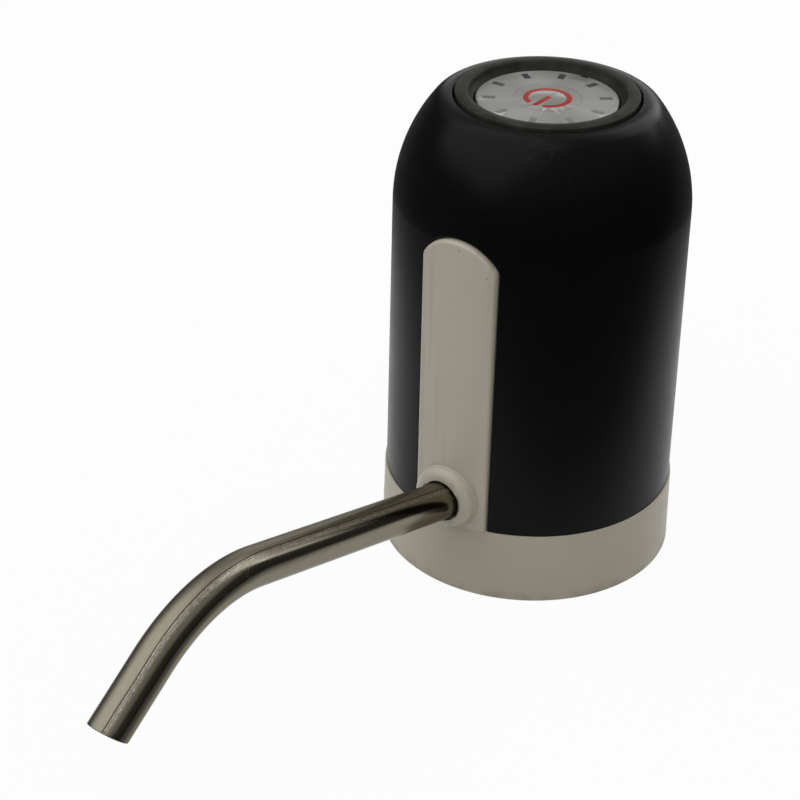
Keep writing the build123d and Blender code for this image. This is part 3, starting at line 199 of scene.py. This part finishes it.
world = bpy.data.worlds.new("studio")
world.use_nodes = True
scene.world = world
room = Shade(world.node_tree)
straight = room.node("ShaderNodeLightPath", {}, {}, "Is Camera Ray")
mirrored = straight.maths("MAXIMUM", straight.also("Is Glossy Ray"), straight.also("Is Transmission Ray"))
toward = room.node("ShaderNodeSeparateXYZ", {}, {0: room.node("ShaderNodeTexCoord", {}, {}, "Generated")})
aside = toward * math.cos(unlit_heading) + toward.also("Y") * math.sin(unlit_heading)
rise = toward.also("Z")
upper_room = step_up(rise, upper_starts, upper_full) * upper_light + horizon_light
soft_room = aside * side_light + room_light
rear = toward.also("Y") * math.sin(rear_heading) + toward.also("X") * math.cos(rear_heading)
low_wall = step_up(rise, wall_foot, wall_full) * (1 - step_up(rise, wall_fades, wall_top))
rear_wall = step_up(rear, wall_edge, wall_core) * low_wall * rear_light
strength = straight + (1 - straight) * (mirrored * (upper_room + rear_wall) + (1 - mirrored) * soft_room)
plug(world.node_tree.nodes["Background"], {"Color": (1, 0.99, 0.975, 1), "Strength": strength})

soft_lamp("front_lamp", place=Vector((-0.38, -0.44, 0.98)), size=1.7, power=12.4)
soft_lamp("rear_lamp", place=Vector((0.22, 0.95, 0.74)), size=0.85, power=4.6)


# The base ring is moulded in warm pale grey plastic, in one piece with the collar that takes the
# bottle's neck. Its mould was lightly textured, and it is rubbed and a little dirty near its foot.
def place_in(term):
    """The place on the piece, in the part's own frame."""
    return term.node("ShaderNodeTexCoord", {}, {}, "Object")


def noise(where, size, detail=3.0, roughness=0.5):
    """Cloudy noise whose lumps are about one size across, in metres."""
    sockets = {"Vector": where, "Scale": 1 / size, "Detail": detail, "Roughness": roughness}
    return where.node("ShaderNodeTexNoise", {}, sockets)


def height_of(where):
    """The height above the floor, in metres."""
    return where.node("ShaderNodeSeparateXYZ", {}, {0: where}, "Z")


def stretched(where, scale):
    """The same place with its three axes scaled, so that a pattern is drawn out along one of them."""
    return where.node("ShaderNodeMapping", {}, {"Vector": where, "Scale": scale})


def blend(factor, first, second):
    """Mixes two colours by a factor."""
    sockets = {0: factor, 6: first, 7: second}
    return factor.node("ShaderNodeMix", {"data_type": "RGBA"}, sockets, 2)


def bumped(height, depth):
    """A normal for a height from 0 to 1 that stands for a depth in metres."""
    return height.node("ShaderNodeBump", {}, {"Height": height, "Distance": depth})


def hairlines(where, size, width):
    """Thin wandering lines: where a slow noise passes its middle value."""
    return 1 - step_up(abs(noise(where, size, 1.5) - 0.5), 0, width)


def patches(where, size, low, high):
    """Soft-edged patches that cover part of the surface."""
    return step_up(noise(where, size, 4.0), low, high)


cloud_gloss, texture_gloss, worn_gloss = 0.12, 0.06, 0.2


def moulded(name, colour, second, roughness, specular=0.5, cloud=0.012, pit=0.0004, depth=0.000012,
            wear=None, worn=(0, 0, 0, 1)):
    """Moulded plastic: slow clouds of a second colour, uneven gloss, the mould's fine texture, and wear."""
    made, shader, term = new_material(name)
    where = place_in(term)
    clouds = noise(where, cloud)
    texture = noise(where, pit, 2.0)
    tone = blend(clouds, colour, second)
    gloss = roughness + (clouds - 0.5) * cloud_gloss + (texture - 0.5) * texture_gloss
    if wear:
        marked = wear(where)
        tone = blend(marked, tone, worn)
        gloss = gloss + marked * worn_gloss
    plug(shader, {
        "Base Color": tone,
        "Roughness": gloss,
        "Specular IOR Level": specular,
        "Normal": bumped(texture, depth),
    })
    return made


merge_reach = 0.001 * mm


def merge_points(mesh):
    """Joins the points of loose triangles that share a place."""
    work = bmesh.new()
    work.from_mesh(mesh)
    bmesh.ops.remove_doubles(work, verts=work.verts, dist=merge_reach)
    for face in work.faces:
        face.smooth = True
    work.to_mesh(mesh)
    work.free()


def evened(twin):
    """The normals of a piece's corners, each an average in which large faces count most."""
    weighted = twin.modifiers.new("even_shading", "WEIGHTED_NORMAL")
    weighted.keep_sharp = True
    weighted.weight = 80
    even = twin.evaluated_get(bpy.context.evaluated_depsgraph_get()).to_mesh()
    normals = np.empty(len(even.loops) * 3, dtype=np.float32)
    even.corner_normals.foreach_get("vector", normals)
    twin.modifiers.remove(weighted)
    return normals.reshape(-1, 3, 3)


level_limit = 0.03
radial_limit = math.cos(math.radians(7))


def true_to_axis(mesh, normals):
    """Corner normals with those of upright round walls taken from the part's axis.

    A triangle lies on such a wall when its own normal is level and, at each of its corners, points
    nearly straight away from the axis or towards it. There each corner's normal is that direction:
    the corner's place with its height left out, made one unit long, with the triangle's sign.
    """
    corners = np.empty(len(mesh.loops), dtype=np.int32)
    mesh.loops.foreach_get("vertex_index", corners)
    points = np.empty(len(mesh.vertices) * 3, dtype=np.float32)
    mesh.vertices.foreach_get("co", points)
    places = points.reshape(-1, 3)[corners].reshape(-1, 3, 3)
    facing = np.cross(places[:, 1] - places[:, 0], places[:, 2] - places[:, 0])
    facing /= np.maximum(np.linalg.norm(facing, axis=1, keepdims=True), 1e-15)
    outward = places * (1, 1, 0)
    outward /= np.maximum(np.linalg.norm(outward, axis=2, keepdims=True), 1e-9)
    share = np.einsum("fca,fa->fc", outward, facing)
    on_wall = (np.abs(facing[:, 2]) < level_limit) & (np.abs(share).min(axis=1) > radial_limit)
    return np.where(on_wall[:, None, None], outward * np.sign(share)[:, :, None], normals)


def smooth_twin(node, body, finish, angle=28.0):
    """A copy of a piece with its triangles joined and shaded smooth, except at its real edges."""
    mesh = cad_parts[node].data.copy()
    mesh.name = node + "_surface"
    mesh.materials.clear()
    mesh.materials.append(finish)
    merge_points(mesh)
    mesh.set_sharp_from_angle(angle=math.radians(angle))
    twin = bpy.data.objects.new(node + "_surface", mesh)
    bpy.context.collection.objects.link(twin)
    mesh.normals_split_custom_set(true_to_axis(mesh, evened(twin)).reshape(-1, 3).tolist())
    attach(twin, body)
    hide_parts(node)


dirt_full, dirt_top = 0.0002, 0.0035


def foot_wear(where):
    """Dirt in the lowest millimetres, and rubbed patches above it."""
    dirt = (1 - step_up(height_of(where), dirt_full, dirt_top)) * patches(where, 0.006, 0.35, 0.7)
    rubbed = patches(where, 0.009, 0.6, 0.8) * noise(stretched(where, (1, 1, 0.2)), 0.0006)
    return dirt * 0.5 + rubbed * 0.22


pale_plastic = moulded("pale_plastic", paint(171, 165, 150), paint(163, 157, 141),
                       roughness=0.4, specular=0.3, wear=foot_wear, worn=paint(120, 112, 96))
smooth_twin("base_ring", "housing", pale_plastic)


# Rubber and silicone pieces: the seal in the neck bore, the sleeve on the spout's inner end, the
# delivery tube, the washer under the nozzle, the seal on the motor's shaft and the battery's band.
# Silicone is milky and lets light in, and black rubber is matt and dusty.
def dress(node, finish):
    """Gives a piece its material."""
    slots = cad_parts[node].data.materials
    slots.clear()
    slots.append(finish)


def dusty(where):
    """Fine dust in patches."""
    return patches(where, 0.004, 0.45, 0.75) * noise(where, 0.0002, 2.0) * 0.6


silicone_scatter = 1.0 * mm
silicone = moulded("milky_silicone", paint(206, 206, 198), paint(192, 192, 182),
                   roughness=0.45, specular=0.4, cloud=0.006, wear=dusty, worn=paint(150, 147, 138))
plug(silicone.node_tree.nodes["Principled BSDF"],
     {"Subsurface Weight": 0.25, "Subsurface Radius": (silicone_scatter,) * 3})
for piece in ("neck_seal", "spout_seal", "delivery_tube"):
    dress(piece, silicone)

black_rubber = moulded("black_rubber", paint(28, 28, 28), paint(36, 35, 34),
                       roughness=0.75, specular=0.3, cloud=0.005, wear=dusty, worn=paint(96, 93, 88))
for piece in ("inlet_gasket", "shaft_seal", "battery_strap"):
    dress(piece, black_rubber)


# The nozzle for the suction hose is turned from the same pale plastic. It is rubbed by the hose
# round its barrel, in rings.
def ring_wear(where):
    """Narrow rings at different heights, stronger in some places than in others."""
    rings = patches(stretched(where, (0.05, 0.05, 1)), 0.0012, 0.5, 0.7)
    return rings * noise(where, 0.002) * 0.6


nozzle_plastic = moulded("nozzle_plastic", paint(176, 172, 160), paint(166, 161, 148),
                         roughness=0.35, wear=ring_wear, worn=paint(128, 121, 106))
dress("inlet_nozzle", nozzle_plastic)


# The gear pump: two halves and two gears of natural acetal. The halves are cloudy and waxy, and
# the gears' flanks are polished where they run.
def oily(where):
    """Dark smears of grease."""
    return patches(where, 0.005, 0.55, 0.75) * 0.35


pump_acetal = moulded("pump_acetal", paint(206, 205, 198), paint(196, 194, 185),
                      roughness=0.42, specular=0.45, cloud=0.008, wear=oily, worn=paint(150, 144, 126))
for piece in ("pump_body", "pump_cover"):
    dress(piece, pump_acetal)
gear_acetal = moulded("gear_acetal", paint(226, 224, 214), paint(216, 213, 201),
                      roughness=0.3, specular=0.5, cloud=0.003, pit=0.0002, depth=0.000006, wear=oily,
                      worn=paint(168, 160, 138))
for piece in ("drive_gear", "idler_gear", "switch_plunger"):
    dress(piece, gear_acetal)


# Screws, pins and plain steel pieces are zinc-plated: bright grey, finely scratched, with dull
# bluish and yellowish stains.
def metal(name, colour, stain, roughness, grain=(1, 1, 0.1), size=0.0004, depth=0.000004):
    """Bare metal with a drawn-out grain, stains of a second colour and an uneven gloss."""
    made, shader, term = new_material(name)
    where = place_in(term)
    lines = noise(stretched(where, grain), size, 4.0, 0.6)
    stains = patches(where, 0.004, 0.4, 0.7)
    plug(shader, {
        "Base Color": blend(stains * 0.6 + lines * 0.3, colour, stain),
        "Metallic": 1 - stains * 0.15,
        "Roughness": roughness + (lines - 0.5) * 0.25 + stains * 0.12,
        "Normal": bumped(lines, depth),
    })
    return made


zinc = metal("zinc_plate", paint(190, 191, 194), paint(150, 150, 140),
             roughness=0.3)
for piece in ("base_screws", "deck_screws", "pump_screws", "board_screws", "battery_tabs"):
    dress(piece, zinc)
ground_steel = metal("ground_steel", paint(196, 195, 192), paint(158, 152, 142),
                     roughness=0.2, grain=(1, 1, 8), size=0.0008)
for piece in ("idler_pin", "motor_shaft"):
    dress(piece, ground_steel)


# The motor: a drawn steel can, a moulded end cap, bronze bushes, ferrite magnets, and an armature
# of stamped sheets with varnished copper windings and a three-part commutator.
drawn_can = metal("drawn_can", paint(168, 168, 166), paint(134, 130, 122),
                  roughness=0.34, grain=(1, 1, 0.05), size=0.0006)
dress("motor_can", drawn_can)
bronze = metal("bush_bronze", paint(176, 140, 82), paint(120, 88, 46),
               roughness=0.42, grain=(1, 1, 1), size=0.0003, depth=0.00001)
for piece in ("motor_bushes", "motor_terminals"):
    dress(piece, bronze)
commutator_copper = metal("commutator_copper", paint(196, 124, 84), paint(92, 58, 42),
                          roughness=0.28, grain=(0.1, 0.1, 1))
dress("commutator", commutator_copper)
ferrite = moulded("ferrite", paint(58, 58, 60), paint(46, 45, 46),
                  roughness=0.6, specular=0.5, cloud=0.003, pit=0.0003, depth=0.00003)
dress("motor_magnets", ferrite)

sheet_pitch = 0.5 * mm
sheets, sheets_shader, term = new_material("stamped_sheets")
where = place_in(term)
layers = step_up(where.maths("PINGPONG", height_of(where), sheet_pitch / 2), 0.00002, 0.00008)
rust = patches(where, 0.003, 0.5, 0.75)
plug(sheets_shader, {
    "Base Color": blend(rust, paint(128, 128, 130), paint(104, 84, 66)),
    "Metallic": 1 - rust * 0.4,
    "Roughness": 0.38 + rust * 0.3 + layers * 0.05,
    "Normal": bumped(layers, 0.00004),
})
dress("motor_armature", sheets)

wire_pitch = 0.3 * mm
wire, wire_shader, term = new_material("copper_wire")
where = place_in(term)
across = term.node("ShaderNodeSeparateXYZ", {}, {0: where})
turns = term.maths("PINGPONG", across + across.also("Y"), wire_pitch / 2) * (2 / wire_pitch)
varnish = noise(where, 0.002)
plug(wire_shader, {
    "Base Color": blend(turns * 0.6 + varnish * 0.4, paint(112, 52, 26), paint(196, 112, 62)),
    "Metallic": 0.85,
    "Roughness": 0.25 + varnish * 0.2,
    "Normal": bumped(turns, 0.00006),
})
dress("armature_windings", wire)


# The inner frame and the motor's end cap are moulded in grey plastic filled with glass fibre,
# which leaves short pale streaks in the surface.
def fibres(where):
    """Short pale streaks along the flow of the plastic."""
    return step_up(noise(stretched(where, (1, 1, 0.25)), 0.0005, 2.0), 0.6, 0.72) * 0.5


frame_plastic = moulded("frame_plastic", paint(104, 105, 107), paint(94, 95, 97),
                        roughness=0.55, specular=0.4, cloud=0.01, pit=0.0003, depth=0.00002,
                        wear=fibres, worn=paint(138, 138, 138))
for piece in ("inner_frame", "motor_end_cap"):
    dress(piece, frame_plastic)


# The battery is a round cell in a plain blue shrink sleeve, glossy and slightly wrinkled. The
# sleeve's ends are folded in over the rims.
cell_sleeve, sleeve_shader, term = new_material("cell_sleeve")
where = place_in(term)
wrinkles = noise(stretched(where, (1, 1, 0.3)), 0.004, 2.0)
film = noise(where, 0.015)
plug(sleeve_shader, {
    "Base Color": blend(film, paint(60, 118, 170), paint(48, 104, 156)),
    "Roughness": 0.22 + film * 0.12,
    "Coat Weight": 0.4 + film * 0.3,
    "Normal": bumped(wrinkles, 0.00012),
})
dress("battery_cell", cell_sleeve)

# The circuit boards are woven glass fibre under green lacquer. Copper tracks show through as
# slightly lighter strips. Chips, the coil and the switch are moulded in black resin.
board, board_shader, term = new_material("board_lacquer")
where = place_in(term)
tracks = term.node("ShaderNodeTexBrick", {"offset": 0.5, "squash": 1.0}, {
    "Vector": where, "Scale": 180.0, "Mortar Size": 0.12, "Mortar Smooth": 0.1,
    "Color1": paint(18, 92, 48), "Color2": paint(22, 104, 56), "Mortar": paint(40, 132, 76),
})
weave = noise(stretched(where, (1, 0.3, 1)), 0.0003) * 0.5
weave = weave + noise(stretched(where, (0.3, 1, 1)), 0.0003) * 0.5
plug(board_shader, {
    "Base Color": blend(weave * 0.4, tracks, paint(12, 70, 36)),
    "Roughness": 0.28 + weave * 0.15,
    "Normal": bumped(weave, 0.00002),
})
for piece in ("control_board", "charge_board"):
    dress(piece, board)
resin = moulded("chip_resin", paint(30, 30, 31), paint(38, 38, 38),
                roughness=0.55, specular=0.35, cloud=0.002, pit=0.00015, depth=0.00001)
for piece in ("control_chips", "charge_chips", "tact_switch", "usb_tongue"):
    dress(piece, resin)

# The clear ring under the cap, the small lamps on the board and the charging lamp are of milky
# clear plastic. The charging port is a folded shell of nickel-plated steel.
clear, clear_shader, term = new_material("milky_clear")
where = place_in(term)
haze = noise(where, 0.002)
plug(clear_shader, {
    "Base Color": blend(haze, paint(232, 235, 234), paint(214, 218, 216)),
    "Roughness": 0.18 + haze * 0.2,
    "Transmission Weight": 0.55,
    "IOR": 1.49,
    "Normal": bumped(haze, 0.00001),
})
for piece in ("light_guide", "status_leds", "charge_lamp"):
    dress(piece, clear)
nickel = metal("nickel_shell", paint(198, 194, 184), paint(168, 160, 144),
               roughness=0.24, grain=(0.2, 1, 1), size=0.0005)
dress("usb_socket", nickel)


# The upper shell is moulded in black plastic with a satin mould finish. It shows hairline
# scratches from wiping, some swirls at the front of the dome and a few specks of dust.
def near(where, place, low, high):
    """1 within the low distance of a place, falling to 0 at the high one."""
    settings = {"operation": "DISTANCE"}
    away = where.node("ShaderNodeVectorMath", settings, {0: where, 1: place}, "Value")
    return 1 - step_up(away, low, high)


swirl_place = (0.0133, -0.024, 0.1189)


def wiped(where):
    """Hairline scratches in patches, swirls at one place, and specks of dust."""
    swirls = hairlines(stretched(where, (1, 1, 1.5)), 0.0035, 0.02)
    swirls = swirls * near(where, swirl_place, 0.001, 0.006)
    scratches = hairlines(where, 0.03, 0.0009) * patches(where, 0.02, 0.55, 0.66)
    crossing = hairlines(stretched(where, (1, 1.6, 0.5)), 0.022, 0.0008) * patches(where, 0.014, 0.58, 0.7)
    specks = step_up(noise(where, 0.0007, 0.0), 0.82, 0.86)
    return scratches * 0.22 + crossing * 0.2 + specks * 0.15 + swirls * 0.3


black_plastic = moulded("black_plastic", paint(8, 8, 8), paint(10, 10, 9),
                        roughness=0.3, specular=0.085, wear=wiped, worn=paint(60, 60, 57))
smooth_twin("upper_shell", "housing", black_plastic)


# The front strip is moulded in the same pale plastic, with the collar that the spout comes out of.
# Fine upright streaks run down its face, and there is a small nick near the top and a speck below it.
nick_place = (0.00099, -0.0376, 0.2273)
nick_scale = (1, 1, 2.4)
speck_place = (0.0084, -0.03665, 0.08937)


def strip_wear(where):
    """Upright streaks, a nick, whose place has its height stretched, and a speck."""
    streaks = patches(stretched(where, (1, 1, 0.03)), 0.0016, 0.5, 0.75) * 0.16
    nick = near(stretched(where, nick_scale), nick_place, 0.0002, 0.0005)
    speck = near(where, speck_place, 0.00015, 0.0004)
    return streaks.maths("MAXIMUM", streaks, nick.maths("MAXIMUM", nick, speck * 0.6) * 0.9)


strip_plastic = moulded("strip_plastic", paint(174, 169, 155), paint(167, 162, 147),
                        roughness=0.34, specular=0.35, wear=strip_wear, worn=paint(116, 109, 96))
smooth_twin("front_strip", "housing", strip_plastic)

# The spout is one bent stainless tube. Its weld runs along the top as a thin dark line beside a
# ground, grainy strip, and its sides are smooth from drawing. Its mouth has a lightly broken edge
# and is cut a little aslant, so that it looks down.
spout_rise = math.radians(15.9)
spout_hole = np.array([-36.0, 25.49]) * mm
spout_depth = 7.0 * mm
spout_straight = 87.2 * mm
spout_bend = 41.8 * mm
spout_turn = math.radians(49.0)
spout_end = 17.7 * mm
spout_outer = 4.75 * mm
spout_inner = 4.25 * mm
spout_edge = 0.2 * mm
spout_around = 128
mouth_lean = 0.27
mouth_turn = math.radians(14)
spout_start = spout_hole + spout_depth * np.array([math.cos(spout_rise), -math.sin(spout_rise)])


def spout_surface():
    """The tube's whole skin, as a grid of two parameters.

    One parameter goes along a closed loop of (distance along the tube, radius): out along the outer
    wall, round the mouth, back along the inner wall and across the inner end. The other goes round
    the tube. The centreline is a straight, an arc that bends downwards and a straight: its slope is
    the rise less the part of the turn that lies behind, and its place is the sum of the slope.
    Over the last straight, the distance grows on the upper side and shrinks on the lower one, which
    leans the mouth.
    """
    length = spout_straight + spout_bend * spout_turn + spout_end
    walk = np.concatenate([np.linspace(0, spout_straight, 45),
                           np.linspace(spout_straight, length - spout_end, 44)[1:],
                           np.linspace(length - spout_end, length - spout_edge, 12)[1:]])
    bevel = np.radians(np.linspace(0, 90, 6))[1:]
    edge_s = length - spout_edge + spout_edge * np.sin(bevel)
    edge_r = spout_outer - spout_edge + spout_edge * np.cos(bevel)
    along = np.concatenate([walk, edge_s, [length], walk[::-1]])
    radius = np.concatenate([np.full(len(walk), spout_outer), edge_r, [spout_inner],
                             np.full(len(walk), spout_inner)])
    angle = np.linspace(0, 2 * np.pi, spout_around, endpoint=False)[None, :]
    along, radius = along[:, None], radius[:, None]
    share = np.clip((along - length + spout_end) / spout_end, 0, 1)
    along = along + share * mouth_lean * radius * np.cos(angle - mouth_turn)
    bent = np.clip((along - spout_straight) / spout_bend, 0, spout_turn)
    slope = spout_rise - bent
    first = np.minimum(along, spout_straight)
    last = np.maximum(along - spout_straight - spout_bend * spout_turn, 0)
    forward = (first * np.cos(spout_rise) + spout_bend * (np.sin(spout_rise) - np.sin(slope))
               + last * np.cos(slope))
    upward = (first * np.sin(spout_rise) + spout_bend * (np.cos(slope) - np.cos(spout_rise))
              + last * np.sin(slope))
    lift = radius * np.cos(angle)
    x = radius * np.sin(angle)
    y = spout_start[0] - forward + lift * np.sin(slope)
    z = spout_start[1] + upward + lift * np.cos(slope)
    return np.stack([x, y, z], axis=-1), np.stack([along, lift, x], axis=-1)


def closed_grid(name, points):
    """A mesh from a grid of points that closes in both directions."""
    rows, columns = points.shape[:2]
    here = np.arange(rows * columns).reshape(rows, columns)
    below = np.roll(here, -1, axis=0)
    faces = np.stack([here, below, np.roll(below, -1, axis=1), np.roll(here, -1, axis=1)], axis=-1)
    mesh = bpy.data.meshes.new(name)
    mesh.from_pydata(points.reshape(-1, 3), [], faces.reshape(-1, 4))
    mesh.shade_smooth()
    return mesh


skin, skin_place = spout_surface()
tube_mesh = closed_grid("spout_skin", skin)
stored = tube_mesh.attributes.new("tube_place", "FLOAT_VECTOR", "POINT")
stored.data.foreach_set("vector", skin_place.reshape(-1))
tube_mesh.set_sharp_from_angle(angle=math.radians(50))

seam_angle, seam_half, seam_edge = 21, 0.9, 2.6
second_angle, second_half, second_edge = 27, 0.8, 3.0
ground_full = 24
ground_fades, ground_ends = 28, 44
drawn_side, rough_top = 46, 34

stainless, steel_shader, term = new_material("stainless_tube")
where = term.node("ShaderNodeAttribute", {"attribute_name": "tube_place"}, {}, "Vector")
parts = term.node("ShaderNodeSeparateXYZ", {}, {0: where})
angle = term.maths("ARCTAN2", parts.also("Z"), parts.also("Y")) * (180 / math.pi)
wander = (noise(stretched(where, (1, 0, 0)), 0.012) - 0.5) * 5
grain = noise(stretched(where, (0.4, 1, 1)), 0.0003, 3.0, 0.7)
drawn = noise(stretched(where, (0.02, 1, 1)), 0.0003, 4.0, 0.6)
seam = 1 - step_up(abs(angle + wander - seam_angle), seam_half, seam_edge)
second_seam = 1 - step_up(abs(angle + wander * 2 - second_angle), second_half, second_edge)
second_seam = second_seam * step_up(grain, 0.46, 0.56)
ground = step_up(angle, seam_angle, ground_full) * (1 - step_up(angle, ground_fades, ground_ends))
top = 1 - step_up(abs(angle), rough_top, drawn_side)
scuffs = hairlines(stretched(where, (0.25, 1, 1)), 0.006, 0.006) * patches(where, 0.008, 0.5, 0.65)
lines = seam.maths("MAXIMUM", seam, second_seam * 0.8)
tone = blend(drawn * 0.5 + grain * 0.3 * top, paint(134, 129, 114), paint(117, 112, 98))
tone = blend(ground * step_up(grain, 0.42, 0.58), tone, paint(184, 178, 162))
plug(steel_shader, {
    "Base Color": blend(lines * 0.85, tone, paint(40, 34, 26)),
    "Metallic": 1.0,
    "Specular Tint": (0.6, 0.6, 0.58, 1),
    "Roughness": 0.17 + top * 0.24 + (drawn - 0.5) * 0.1 + (grain - 0.5) * 0.2 * top + scuffs * 0.15,
    "Normal": bumped(drawn * 0.4 + grain * (top * 0.5 + ground * 0.8) - lines + scuffs * 0.3, 0.000012),
})
tube_mesh.materials.append(stainless)
tube = bpy.data.objects.new("spout_skin", tube_mesh)
bpy.context.collection.objects.link(tube)
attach(tube, "spout")
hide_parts("spout_tube")


# The top bezel is moulded in black with a finer, greyer finish than the shell. Its dished inner
# wall is rubbed by fingers, and dust lies on its top.
dish_height, ring_top = 0.119, 0.1219


def finger_wear(where):
    """Dust and rubbing on the top of the ring."""
    return step_up(height_of(where), dish_height, ring_top) * patches(where, 0.004, 0.35, 0.75) * 0.35


bezel_plastic = moulded("bezel_plastic", paint(35, 35, 32), paint(41, 41, 38),
                        roughness=0.42, specular=0.03, wear=finger_wear, worn=paint(74, 74, 69))
smooth_twin("top_bezel", "housing", bezel_plastic)


# The push plate has a silver-grey face under a hard clear coat, smooth and glossy. Its face shows soft
# sectors of painted sheen, the wedges of light that a spun finish reflects, a fine printed circle round the
# symbol, and a few light scratches.
def painted_sheen_sectors(where, count, turn):
    """Soft lighter and darker sectors about the part's axis: a painted sheen, the wedges of light that a
    spun finish reflects.
    """
    flat = where.node("ShaderNodeSeparateXYZ", {}, {0: where})
    round_about = flat.maths("ARCTAN2", flat.also("Y"), flat)
    return (round_about * count + turn).maths("SINE", round_about * count + turn) * 0.5 + 0.5


circle_radius, circle_half, circle_edge = 8.15 * mm, 0.06 * mm, 0.22 * mm
sheen_starts, sheen_full = 0.002, 0.012

cap_finish, cap_shader, term = new_material("cap_finish")
where = place_in(term)
across = where.node("ShaderNodeVectorMath", {"operation": "MULTIPLY"}, {0: where, 1: (1, 1, 0)})
reach = across.node("ShaderNodeVectorMath", {"operation": "LENGTH"}, {0: across}, "Value")
# Painted sheen: the sectors lighten the face's colour in wedges, and change its roughness and coat a
# little.
sheen_fan = painted_sheen_sectors(where, 3.0, 0.6) * 0.6 + painted_sheen_sectors(where, 5.0, 2.1) * 0.4
sheen_fan = sheen_fan * step_up(reach, sheen_starts, sheen_full)
turned = noise(where.node("ShaderNodeCombineXYZ", {}, {0: reach}), 0.00025, 2.0)
printed = 1 - step_up(abs(reach - circle_radius), circle_half, circle_edge)
printed = printed * patches(where, 0.01, 0.35, 0.6)
scuffs = hairlines(where, 0.012, 0.0012) * patches(where, 0.007, 0.58, 0.7)
tone = blend(sheen_fan, paint(124, 124, 119), paint(147, 148, 148))
tone = blend(noise(where, 0.006) * 0.35, tone, paint(130, 127, 120))
tone = blend(printed * 0.7, tone, paint(88, 64, 61))
plug(cap_shader, {
    "Base Color": blend(scuffs * 0.15, tone, paint(160, 160, 156)),
    "Metallic": 0.35,
    "Roughness": 0.34 + (turned - 0.5) * 0.06 + sheen_fan * 0.06 + scuffs * 0.06,
    "Coat Weight": 0.15 + sheen_fan * 0.1,
    "Normal": bumped(turned * 0.3 + printed, 0.000002),
})
smooth_twin("button_cap", "button", cap_finish)

# The symbol and the ten marks are windows of coloured plastic set flush in the cap: glossy red, paler on
# the far side of the dial as a painted reflection, and smoke grey that looks darker on the far side of the
# dial than on the near side as painted shade.
towards_front = Vector((0.515, -0.857, 0))
painted_light_reach = 12.0 * mm


def painted_light_share(where):
    """0 on the far side of the dial and 1 on the near side: how much painted light the windows take, a
    painted reflection on the far red and painted shade on the far grey.
    """
    settings = {"operation": "DOT_PRODUCT"}
    along = where.node("ShaderNodeVectorMath", settings, {0: where, 1: towards_front}, "Value")
    return step_up(along, -painted_light_reach, painted_light_reach)


red_print, red_shader, term = new_material("red_window")
where = place_in(term)
uneven = noise(where, 0.0012)
plug(red_shader, {
    # Painted reflection: the red is paler on the far side of the dial.
    "Base Color": blend(painted_light_share(where) * 0.85 + uneven * 0.15, paint(156, 66, 58), paint(138, 10, 15)),
    "Roughness": 0.3 + uneven * 0.15,
    "Specular IOR Level": 0.04,
    "Normal": bumped(uneven, 0.000008),
})
dress("power_symbol", red_print)

smoke_print, smoke_shader, term = new_material("smoke_window")
where = place_in(term)
uneven = noise(where, 0.0009)
plug(smoke_shader, {
    # Painted shade: the smoke grey is darker on the far side of the dial and lighter on the near side.
    "Base Color": blend(painted_light_share(where) + (uneven - 0.5) * 0.3, paint(52, 56, 54), paint(112, 111, 102)),
    "Roughness": 0.3 + uneven * 0.15,
    "Specular IOR Level": 0.1,
    "Normal": bumped(uneven, 0.000008),
})
dress("dial_marks", smoke_print)
